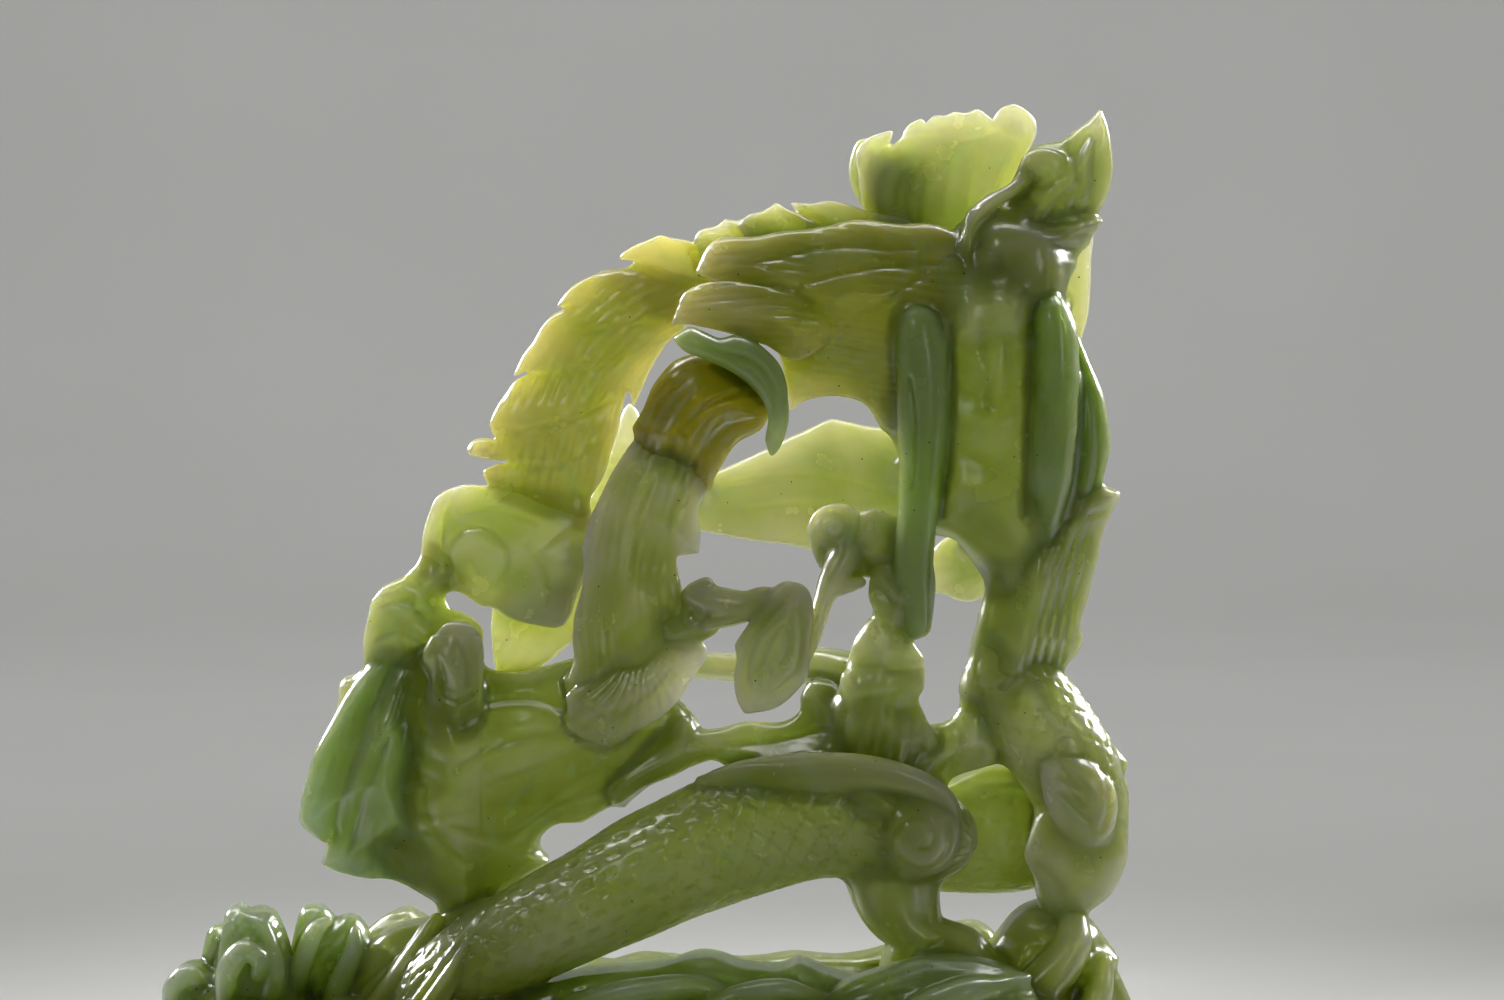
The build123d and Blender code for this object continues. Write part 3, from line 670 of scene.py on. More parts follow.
def carve_body():
    carve("scaled_body", rope((-44, -14, 13, 8, 9), (-37, -15, 20.5, 9.2, 10), (-24, -15, 28.5, 10, 11),
        (-10, -14, 35.6, 11, 12), (4, -12, 42.4, 12.2, 13), (18, -10, 48, 12.8, 13.4),
        (32, -9, 51.6, 12.8, 13.2), (46, -8, 50.6, 11.4, 12.4), (58, -8, 47.6, 8.6, 10),
        scales=(5.2, 11, 0.5)))
    carve(
        "body_ridge",
        rope((11, -13, 59.4, 0.8, 1.4), (16, -15, 60.2, 2.4, 2.4), (23, -16.6, 60.6, 4.0, 2.6),
            (32, -18, 61.0, 4.6, 3.0), (41, -18, 61.4, 4.2, 3.0), (50, -17.4, 60.6, 3.2, 3.0),
            (57, -16.6, 58, 2.6, 2.8), (61, -15.6, 54, 1.8, 2.4), (62, -14, 49, 0.8, 1.4), grooves=6,
            groove_depth=0.3, twist=0.03),
        merge=2.4,
    )
    carve("wave_band", lobe(
        [(-6, 54), (0, 57), (6, 59.4), (9.4, 61), (13.8, 62.4), (18, 60), (26, 56), (40, 54), (54, 54),
         (60, 56), (62, 58.6), (66, 60.4), (71, 61.6), (75, 63), (72, 70), (67, 77), (64.8, 80.4),
         (63.4, 77), (63.2, 73), (60.4, 70), (55, 69.7), (50, 72), (40, 77), (34, 78.6), (31.4, 75.6),
         (30.8, 72), (27, 69.9), (20, 69.9), (15, 68.7), (10.4, 68.2), (8, 70.6), (2, 66), (-6, 60)],
        y=-3, half=2.8, edge=2.2, dome=4.4, spread=9, tilt=(0, 0.08),
        relief=[
            strands([(-4, 56), (10, 63), (24, 66), (38, 68), (54, 66)], 4.2, 0.6, 1.2, 22),
            engrave(0.9, 0.9, [(16, 65.6), (27, 66.6), (38, 69), (50, 67)]),
            uneven(9, 0.8, 23),
        ],
    ), merge=2.6)
    carve(
        "scroll_boss",
        lobe(
            [(45.4, 49), (46.6, 53.6), (50, 56.4), (54.4, 57.2), (59, 55.6), (62, 51.6), (62.2, 47),
             (60, 42.6), (56, 40.6), (51.4, 41), (47.6, 44.2)],
            y=-16.5, half=2.6, edge=2.4, dome=2.6, spread=5,
            relief=[
                engrave(0.8, 0.6, [(60, 52), (60.4, 47.4), (58, 43.6), (54, 42.8), (50.4, 45), (49.6, 49),
                    (51.6, 52.2), (55, 52.6), (57.4, 50.2), (56.6, 47.4), (54.4, 47)]),
                uneven(5, 0.3, 43),
            ],
        ),
        lobe(
            [(40.8, 57.6), (43, 58.4), (46.4, 57.6), (49.6, 55.4), (48.4, 53), (44, 53.4), (41.4, 54.6)],
            y=-18.6, half=1.4, edge=1.4, dome=1.0, spread=3,
            relief=[engrave(0.6, 0.6, [(42, 56), (45, 56), (48, 54.4)])],
        ),
        merge=1.6,
    )
    carve(
        "leg_pillar",
        rope((50, -8, 46, 9.6, 9.6), (49.8, -7.6, 39.5, 9.6, 9.6), (51.2, -7, 33.6, 8.2, 9),
            (54.8, -7, 27.6, 6.0, 8), (56.6, -7, 22.6, 9.0, 9), (60, -7, 16, 14, 12), grooves=7,
            groove_depth=0.5, twist=0.03),
        lobe(
            [(50.6, 36.4), (52, 36.6), (53, 33), (56, 29.6), (59, 28.4), (56.4, 27.4), (52.6, 29.6),
             (50.8, 33)],
            y=-14.6, half=1.6, edge=1.4, dome=1.2, spread=2.5,
        ),
        blend=1.6, merge=3.0,
    )
    carve(
        "coil_body",
        rope((71, 0, 84, 6.0, 7), (74.5, -2, 77, 8.8, 8.6), (79, -3, 70, 10.4, 9.4),
            (84, -4, 62.8, 10.2, 9.4), (87.4, -4, 55, 9.6, 9), (87.6, -4, 46, 9.2, 8.6),
            (85.6, -4, 38.5, 7.6, 8), (84, -3, 33.6, 4.4, 6.4), scales=(6.0, 7, 0.35)),
        lobe(
            [(76, 44), (79.6, 38), (84, 33.2), (90, 33.4), (94.6, 38), (96.5, 45), (90, 52), (80, 52)],
            y=-8, half=2.8, edge=2.6, dome=3, spread=7,
            relief=[engrave(0.8, 0.9, [(78.6, 42), (82, 38.6), (84, 34.6)]), uneven(8, 0.6, 44)],
        ),
        blend=2.6, merge=2.0,
    )
    zigzag = [(83, 62, 0), (86.6, 58.6, 0), (82, 60.6, 0), (87.4, 55, 0), (82.6, 57, 0), (88.4, 51.5, 0)]
    carve(
        "coil_fin",
        lobe(
            [(79, 78), (82.4, 76.4, 0.3), (84.6, 74.4), (85.8, 71, 0.4), (86.6, 70.6, 0.3), (90, 69.4),
             (92.4, 67, 0), (92.2, 65.6, 0.3), (94.4, 64.6), (97.4, 61.4, 0.2), (96.4, 58.5, 0.3),
             (97.4, 56.8), (97.5, 52), (96.6, 50, 0.4), (97.4, 48.4), (97, 44), (95, 40), (90, 40), (88, 55),
             (80, 64)],
            y=0, half=2.2, edge=1.6, dome=1.8, spread=6,
            relief=[rays((78, 58), 40, 0.5), engrave(0.7, 0.7, zigzag)],
        ),
        lobe(
            [(80, 63), (87, 63.4), (92.6, 60), (94.4, 54), (92, 47.6), (86, 47), (81, 52), (79, 58)],
            y=-13.2, half=1.8, edge=1.8, dome=1.2, spread=5,
            relief=[engrave(0.9, 0.6, zigzag, [(91, 62), (92.6, 56), (91, 50)])],
        ),
        merge=2.0, grain=0.08,
    )
    carve(
        "rear_body",
        rope((53, 7, 42, 8, 9), (60, 9, 44.6, 10.8, 10), (68, 10, 46, 12.8, 10.6), (76, 10, 46.6, 12.6, 10),
            (84, 8, 48, 9, 9), scales=(6.4, 8, 0.3)),
        rope((62, 4, 55, 2, 3), (70, 4, 58, 2.4, 3), (78, 3, 58, 2, 3)),
        blend=1.8,
    )


# ---------------------------------------------------------------- right-hand column

def carve_column():
    fan = [(76, 122), (71, 108), (68, 97), (66, 88), (65, 80), (66, 72)]
    carve("ribbed_fan", lobe(
        [(70, 104), (74, 110), (80, 113.4), (84, 115.6), (88, 117.8), (91.6, 118, 0.6), (95.6, 116.4, 0),
         (94.2, 113.6), (92.4, 110), (91, 104), (89.6, 98), (88.4, 93.6), (87.4, 90), (87.9, 86.4),
         (86.6, 83.8), (84.6, 81.4), (82.2, 78.4), (80, 74), (72, 68), (66, 72), (63.6, 76), (64.2, 80),
         (65.8, 84), (66.2, 88), (66.9, 92), (68.4, 97)],
        y=-3, half=3.0, edge=2.4, dome=6, spread=12,
        relief=[
            strands(fan, 2.0, 0.8, 0.4, 24),
            engrave(0.9, 0.8, [(76, 110), (84, 111), (92, 113)]),
            engrave(0.9, 0.9, [(67, 79), (74, 80), (81.6, 79.4)]),
            uneven(9, 0.5, 25),
        ],
    ), merge=2.0)
    carve(
        "bar_left",
        rope((54.6, -8.5, 153.4, 1.4, 1.6), (54.6, -9.6, 151, 3.6, 4), (54.8, -10, 147, 4.8, 5),
            (55.2, -10.4, 140, 5.0, 5.2), (55.3, -10.6, 131, 5, 5.2), (55, -10.4, 121, 4.4, 5),
            (54.3, -10, 112, 3.9, 4.6), (53.6, -9.6, 103, 4.0, 4.6), (53.8, -9, 96, 3.6, 4.4),
            (54.6, -8, 90, 2.6, 3.4)),
        cuts=[
            rope((52.6, -14.6, 140, 0.3, 0.6), (53.6, -15.4, 132, 0.6, 0.9), (53.6, -15.2, 124, 0.5, 0.9),
                (53, -14.4, 118, 0.3, 0.6)),
        ],
        merge=1.5,
    )
    carve(
        "neck_column",
        lobe(
            [(52, 160), (50.4, 150), (49.4, 140), (48.4, 132), (50.4, 125), (51.8, 118), (52.2, 111),
             (54, 107), (58, 107.6), (62, 106.8), (65, 103.6), (68.4, 98.6), (73, 95), (82, 99), (88, 110),
             (90.6, 118), (91, 127), (89.6, 138), (86, 146), (83, 153), (81, 160), (74, 166), (62, 166)],
            y=0, half=6.4, edge=5, dome=4.6, spread=11,
            relief=[
                engrave(1.4, 0.9, [(61, 150), (60.6, 138), (60.2, 124), (59.4, 112)]),
                engrave(1.2, 0.9, [(76.6, 150), (76.4, 138), (76, 124), (75.4, 112)]),
                engrave(0.8, 1.0, [(66, 152), (68, 142), (68.6, 134)]),
                engrave(0.8, 0.9, [(72, 153), (72.4, 144), (72, 137)]),
                uneven(10, 0.9, 45),
            ],
        ),
        blob((65, -9, 151), (3.0, 3.6, 5)),
        blob((73.4, -9, 151.6), (2.6, 3.4, 4.4)),
        blend=2.4, grain=0.2, merge=3.0,
    )
    carve(
        "bar_right",
        rope((80.6, -6, 155, 1.6, 2), (81.4, -8, 152, 3.6, 4), (82, -9, 146, 4.4, 4.8),
            (82, -9.4, 136, 4.4, 5), (81.4, -9.4, 124, 4.2, 4.6), (80.6, -8.6, 115, 3.4, 4),
            (80, -7, 108, 1.8, 2.6)),
        merge=1.4,
    )
    carve("oval_leaf", lobe(
        [(84, 153, 0.2), (86.4, 148.4), (88.6, 143.8), (90.6, 139), (92, 134.6), (93, 129), (92.9, 124),
         (92, 119.4), (90.4, 115), (84, 112), (80, 118), (79, 130), (80, 142)],
        y=-3, half=3, edge=2.6, dome=2.6, spread=6,
        relief=[
            engrave(0.9, 0.9, [(85.4, 148), (87.4, 138), (87.6, 127), (86, 117)]),
            engrave(0.6, 0.7, [(88, 141), (90, 133), (90.4, 124), (89.4, 117)]),
        ],
    ))
    carve(
        "ribbon_twist",
        lobe(
            [(45.6, 101), (49, 102.4), (55.4, 103), (57.6, 100), (57.6, 94), (56, 90.6, 0.4), (53.4, 89.6),
             (53.2, 86), (55.6, 82.4), (55.8, 79), (54.8, 75), (56.2, 71.6), (58, 66), (50, 58), (40, 60),
             (36.6, 70), (38.4, 76), (40, 81), (41.4, 86), (43.4, 89.6), (45.6, 92.4), (44.6, 96)],
            y=-7, half=2.2, edge=1.8, dome=4.4, spread=8,
            relief=[
                engrave(1.1, 0.8, [(44.6, 92), (48, 90.4), (52, 88.8), (53.6, 87)]),
                engrave(0.9, 0.8, [(46, 98), (50, 95), (54, 94), (57, 95)]),
                engrave(1.0, 0.8, [(40, 81), (46, 82), (52, 81.4), (55.8, 82)]),
                engrave(0.8, 0.8, [(39, 76), (46, 76.4), (52, 77.6), (54.8, 75.4)]),
                strands([(45, 98), (48, 88), (44, 76), (42, 64)], 2.6, 0.5, 0.5, 46),
                uneven(7, 0.6, 47),
            ],
        ),
        lobe(
            [(46.6, 92), (50, 90.4), (53.6, 86), (55, 83), (51, 82), (45.6, 82.6), (42.4, 84.6), (44, 88.6)],
            y=-8.8, half=1.4, edge=1.4, dome=1.6, spread=4,
            relief=[engrave(0.6, 0.6, [(46, 89), (49, 86.6), (52, 85)])],
        ),
        lobe(
            [(39.6, 80.6), (46, 81), (53.6, 80), (55.4, 77.6), (52.6, 76), (46, 74), (40.4, 75)],
            y=-9.4, half=1.4, edge=1.4, dome=1.6, spread=4,
        ),
        blend=2.4, merge=2.0,
    )
    carve(
        "rear_cloud",
        lobe(
            [(55, 94), (56.4, 99), (58.6, 103.4), (62, 106.4), (66, 107.4), (72, 105), (74, 98), (70, 94),
             (65, 92.6), (60, 94.2)],
            y=16, half=1.6, edge=1.4, dome=1, relief=[rays((72, 100), 24, 0.4)],
        ),
        rope((66, 7, 106, 3, 3), (66, 11, 104, 3, 3), (66, 16, 101, 3, 2)),
        grain=0.08,
    )


# ---------------------------------------------------------------- clouds and plates of the openwork

def carve_clouds():
    carve("leaf_drop", lobe(
        [(29, 99.6, 0.3), (31.4, 99), (33, 97.2), (33.7, 93), (33, 88), (32.6, 84), (32.4, 80.6), (30.6, 78),
         (28, 75.6), (25, 74), (20, 73.1, 0.3), (18.4, 76), (17.8, 80), (18.3, 84.4), (18, 87, 0.5),
         (20.6, 91), (23, 94.6), (25, 97.6), (27, 99.3)],
        y=-16, half=1.4, edge=1.2, dome=2.2, spread=6,
        relief=[
            engrave(1.0, 0.7, [(28.6, 96.4), (24.6, 92), (21, 86.4), (20.4, 80), (22.4, 76.4)]),
            engrave(0.8, 0.6, [(30.6, 95), (31, 88), (30, 82), (27, 78.4), (23.4, 77.6), (22.6, 82),
                (25, 88), (28, 91), (28.4, 86), (26.4, 82.6)]),
        ],
    ), grain=0.08)
    carve("cloud_small", lobe(
        [(6.8, 92), (7.8, 96), (9.6, 98.6), (12.6, 99.6), (14.6, 97.6), (17, 96.6), (16, 92), (14.6, 89),
         (11.6, 87), (6, 85), (2, 88), (3, 92)],
        y=-8, half=1.6, edge=1.4, dome=2.6, spread=5, relief=[swirl((11, 93), 2.6, 0.8, 1.8)],
    ))
    carve(
        "cloud_link",
        rope((10, -8, 96, 2.4, 3.4), (15, -10, 94.8, 3.1, 4), (20, -12.4, 94.4, 2.9, 3.4),
            (24, -14, 95.6, 2.8, 3), (28, -15, 95.6, 2, 2.4)),
        rope((12, -10, 90.4, 1.2, 2), (17, -12.4, 91.4, 1.2, 2), (22, -13.6, 93, 1.0, 2)),
    )
    carve("rear_bridge", rope((-4, 2, 81, 5, 6), (4, 4, 81.4, 4, 5), (10, 6, 80.8, 3, 4),
        (18, 7, 80, 2.9, 4), (27, 6.6, 80.4, 3.2, 4.4), (34, 5, 80.4, 4, 5), (42, 2, 78, 6, 7), grooves=5,
        groove_depth=0.35))
    carve("cloud_knob", lobe(
        [(33, 106.6), (32.4, 109.4), (34, 112.4), (37, 113.9), (40.6, 113.9), (43, 112.6, 0.5), (46, 113.4),
         (50, 111.6), (55, 109), (56, 102), (50, 98.4), (44, 99.4), (39.6, 98.6), (35.4, 100.6)],
        y=-4, half=1.8, edge=1.6, dome=3.4, spread=6,
        relief=[swirl((37.6, 109.4), 2.7, 0.9, 1.7), engrave(0.9, 0.8, [(43, 112), (42, 107), (44, 102)])],
    ))
    carve(
        "cloud_branch",
        rope((40, -6, 104, 3.4, 4.4), (37.4, -8, 99.6, 2.7, 3.6), (35.6, -10, 95, 2.0, 3),
            (34, -12, 90, 1.8, 2.6), (32, -14, 84, 1.3, 2)),
        rope((37, -8, 99, 1.6, 2), (38.5, -8, 97.6, 1.6, 2.2), (43, -7, 98.6, 1.2, 2)),
    )
    carve(
        "back_plate",
        lobe(
            [(9, 119), (14, 119.4, 0.6), (20, 122), (26, 124.8), (32, 127.6), (37.4, 130, 0.4),
             (41.4, 129.3), (45.4, 128.6), (50, 128), (57, 125), (59, 112), (54, 105), (46, 102.6),
             (36, 103, 0.6), (30, 104.2), (22, 105.2, 0.6), (12, 107), (4, 108), (2, 114)],
            y=15, half=1.7, edge=1.5, dome=0.7, tilt=(0, 0.1),
            relief=[
                engrave(0.6, 0.7, [(14, 117), (28, 119), (44, 117), (54, 112)],
                    [(20, 112), (34, 113), (50, 109)]),
                rays((60, 116), 44, 0.22),
                uneven(9, 0.2, 26),
            ],
        ),
        rope((58, 7, 120, 4, 4), (55, 11, 119, 4, 4), (51, 15, 118, 4, 3)),
        rope((8, 2, 121, 3, 3), (9.5, 8, 118, 3, 3), (11, 14, 114, 3, 2)),
        blend=3.0, grain=0.08,
    )


# ---------------------------------------------------------------- base and waves

def footing(x, y, z):
    """Rounded block with a flat underside: an uneven oval in plan."""
    angle = np.arctan2(y / HALF_DEPTH, x / HALF_LENGTH)
    wobble = 0.02 * np.sin(7 * angle + 0.6) + 0.015 * np.sin(13 * angle + 2)
    reach = np.hypot(x / HALF_LENGTH, y / HALF_DEPTH) - 0.985 - wobble + 0.02 * smooth_step(z, 8, 18)
    rounding = 3
    side = reach * HALF_DEPTH + rounding
    top = 15.5 + 1.6 * np.sin(x / 9.0 + y / 14) + 1.2 * np.sin(x / 4.7 - y / 6)
    face = z - top + rounding
    grooves = 0.8 * (np.abs(np.sin(angle * 31 + z * 0.35)) - 1)
    outer = np.hypot(np.maximum(side - grooves, 0), np.maximum(face, 0))
    return outer + np.minimum(np.maximum(side - grooves, face), 0) - rounding


def wave(points, y, half, seed, guide, pitch=2.2, depth=0.7, dome=2.5, tilt=(0, 0)):
    """Wave crest standing on the base, combed with strands along a guide line."""
    return lobe(
        points, y=y, half=half, edge=min(half, 3), dome=dome, spread=6, tilt=tilt,
        relief=[strands(guide, pitch, depth, 0.6, seed), uneven(7, 0.4, seed + 1)],
    )


def carve_base():
    carve(
        "base_block",
        ((-HALF_LENGTH, -HALF_DEPTH, 0), (HALF_LENGTH, HALF_DEPTH, 19), footing),
        grain=0.3,
    )
    carve(
        "wave_far_left",
        wave([(-97, 4), (-97.2, 14), (-96, 18), (-94, 20.4), (-91.4, 21.4), (-89, 20.6), (-86, 17),
            (-85, 4)], -3, 5, 30, [(-97, 6), (-95, 14), (-90, 20)], 1.8, 0.6),
        rope((-95.6, -8, 12, 1.4, 2), (-95, -9, 17, 2, 2.4), (-91.6, -9, 20, 1.8, 2.4),
            (-89, -8, 17.6, 1.2, 2)),
    )
    carve("wave_left_rim", wave([(-91, 8), (-90.6, 18), (-89.8, 24), (-88.6, 27.4), (-86, 28.4), (-83, 26.6),
        (-79, 18), (-78, 8)], 2, 4, 31, [(-90, 8), (-88, 20), (-84, 28)]))
    carve(
        "wave_left_tall",
        wave([(-88, 8), (-86.4, 20), (-85, 29), (-84.4, 32.2), (-81.4, 33.6), (-79.8, 32.4, 0.3), (-78, 33),
            (-74.8, 32), (-72.8, 28), (-70.4, 20), (-68, 8)], -6, 5, 32, [(-86, 10), (-83, 24), (-76, 32)]),
        rope((-84, -13, 14, 1.6, 2.4), (-83.4, -14.6, 21, 2.2, 2.6), (-80, -15, 25.6, 2.2, 2.6),
            (-76.8, -14.6, 23.6, 1.8, 2.4), (-77.4, -14.4, 20.4, 1.2, 1.8)),
        rope((-76, -11, 12, 2, 3), (-74, -12, 21, 2, 3), (-76.4, -11, 29.4, 1.6, 2.4),
            (-80, -9, 31.4, 1.2, 2)),
        blend=0.9,
    )
    carve(
        "wave_left_inner",
        wave([(-76, 8), (-73, 20), (-71.2, 27.6), (-70, 31.6), (-67.6, 32.2), (-65, 31.6),
            (-63.2, 29.6, 0.4), (-61, 30.2), (-58.6, 29.6), (-56.6, 26.6), (-54, 18), (-52, 8)], 2, 5, 33,
            [(-74, 10), (-69, 22), (-62, 30)]),
        rope((-72, -6, 12, 2, 3), (-69.6, -8, 20, 2.2, 3), (-66.6, -7, 28, 1.8, 2.4),
            (-64, -5, 30, 1.0, 1.6)),
        rope((-64, -8, 10, 2, 3), (-61.6, -9, 17, 2.4, 3), (-58.6, -8, 24, 2, 2.6), (-58.4, -6, 28, 1.2, 2)),
        blend=1.0,
    )
    carve(
        "wave_under_shell",
        wave([(-62, 8), (-58, 21), (-55, 25.4), (-51.6, 28), (-46, 29.4), (-41, 30.4), (-36, 33), (-30, 34),
            (-26, 24), (-18, 8)], -2, 8, 34, [(-58, 12), (-48, 22), (-38, 31)], 2.4),
        rope((-56, -12, 10, 3, 4), (-50, -14, 18, 3, 4), (-45, -12, 26, 2.2, 3), (-42, -8, 30.5, 1.4, 2)),
        rope((-48, -14, 10, 3, 4), (-43, -16, 18, 3, 4), (-38.4, -14, 26, 2.2, 3),
            (-35.5, -10, 31.6, 1.4, 2)),
        blend=1.2,
    )
    carve("wave_strand_foot", rope((-50, -22, 6, 4, 5), (-44, -23, 14, 4, 5), (-38.5, -22, 22, 3.4, 4.4),
        (-33, -19, 30, 2.4, 3.4), (-30, -16, 34, 1.4, 2), grooves=7, groove_depth=0.8))
    carve(
        "wave_middle",
        wave([(-34, 8), (-26, 17), (-18, 19.6), (-8, 21.6), (0, 22.2), (6, 23.4), (11, 24.6), (15, 24.3),
            (20, 22.6), (27, 22.2), (31, 23.4), (34.6, 22), (39, 20.4), (46, 18), (48, 8)], -12, 8, 35,
            [(-30, 10), (-6, 18), (14, 21), (44, 12)], 2.0, 0.7),
        rope((-24, -24, 10, 3, 4), (-12, -25, 16, 3, 4), (2, -24, 19, 3, 4), (12, -22, 19, 2.4, 3),
            (20, -21, 15, 1.6, 2)),
        rope((8, -24, 12, 2.4, 3), (18, -25, 17.6, 2.6, 3), (28, -24, 19, 2.4, 3), (36, -22, 16, 1.6, 2.4)),
        blend=1.2,
    )
    carve(
        "wave_front_ridge",
        wave([(28, 8), (34, 16), (40, 20.4), (46, 22.6), (52, 24.4), (58, 25.4), (64, 25.4), (70, 24),
            (75.8, 21.6, 0), (78, 17), (82, 8)], -20, 5, 36, [(30, 10), (46, 19), (60, 22), (76, 21)], 2.2,
            0.8, 2.5),
        rope((44, -28, 8, 3, 3.4), (52, -29, 14, 3.4, 3.6), (62, -28, 19, 3, 3.4), (71, -25, 20.4, 1.8, 2.4),
            (76, -22, 21.4, 0.8, 1.2)),
        blend=1.0,
    )
    carve(
        "wave_right",
        wave([(58, 8), (64, 16), (70, 24), (74, 29.4), (78, 32), (82, 32.8), (86, 31), (89, 29.6, 0.5),
            (91, 28), (93, 25), (95.6, 22, 0.3), (95.2, 19.6), (96, 17.6, 0.3), (95.4, 8)], 2, 8, 37,
            [(94, 10), (90, 20), (82, 29), (74, 30)], 2.4, 0.6, 5),
        rope((70, -12, 10, 4, 4), (78, -14, 17, 4.6, 5), (85, -12, 25, 4, 5), (86, -8, 31, 3, 4)),
        rope((84, -14, 8, 3, 4), (90, -13, 15, 3, 4), (92, -9, 22, 2.2, 3)),
        blend=1.6,
    )
    carve(
        "wave_back",
        wave([(-68, 8), (-62, 20), (-56, 26), (-50, 29), (-46, 27), (-42, 24), (-36, 26), (-28, 26),
            (-20, 20), (-10, 18), (0, 17.6), (10, 19), (20, 18.4), (30, 19.4), (40, 19), (50, 21),
            (60, 24.6), (68, 26), (74, 20), (78, 8)], 19, 5, 38, [(-64, 10), (-40, 18), (-10, 15), (20, 15),
            (60, 16)], 2.4, 0.7, 3),
        blend=1.0,
    )


# ---------------------------------------------------------------- stone colour that follows the thickness, with painted glow on thin stone and painted shade on thick stone and in creases

def glow_shade_bulk_map():
    """How much stone lies around every point, 0 to 1, on a 1 mm grid, used to paint glow on thin stone and
    shade on thick stone and in creases.
    """
    skip = int(round(1 / VOXEL))
    solid = (Block.surface[::skip, ::skip, ::skip] < 0).astype(np.float32)
    reach = 9
    kernel = np.exp(-0.5 * (np.arange(-reach, reach + 1) / 4.0) ** 2)
    kernel /= kernel.sum()
    for axis in range(3):
        source = np.moveaxis(solid, axis, 0)
        spread = np.zeros_like(source)
        for shift, weight in zip(range(-reach, reach + 1), kernel):
            spread += weight * np.roll(source, shift, 0)
        solid = np.moveaxis(spread, 0, axis)
    return Block.low, solid


def sample(low, grid, points):
    """Trilinear value of a 1 mm grid at points in millimetres."""
    place = np.clip(points - low, 0, np.array(grid.shape) - 1.001)
    base = place.astype(int)
    part = place - base
    value = 0.0
    for corner in range(8):
        offset = np.array([corner & 1, corner >> 1 & 1, corner >> 2 & 1])
        weight = np.prod(np.where(offset, part, 1 - part), 1)
        index = base + offset
        value = value + weight * grid[index[:, 0], index[:, 1], index[:, 2]]
    return value


TONES = {
    "olive": (1.0, 1.0, 1.0),
    "pale": (1.25, 1.2, 1.45),
    "deep": (0.72, 0.88, 0.62),
    "yellow": (1.1, 1.0, 0.75),
    "amber": (0.8, 0.66, 0.1),
    "sea": (0.86, 0.98, 1.15),
}
TONE_OF = {
    "feather_mane": "yellow", "neck_mass": "yellow", "mane_tuft_fourth": "yellow", "arch_mass": "amber",
    "beard_tuft": "pale", "shell_lobe": "pale", "coil_body": "pale", "coil_fin": "pale",
    "cloud_scroll": "pale", "hook_curl": "deep", "bar_left": "deep", "bar_right": "deep",
    "oval_leaf": "deep", "shell_rock": "sea", "wave_far_left": "sea",
    "wave_left_rim": "sea", "wave_left_tall": "sea", "wave_left_inner": "sea", "wave_middle": "sea",
    "wave_front_ridge": "sea",
}


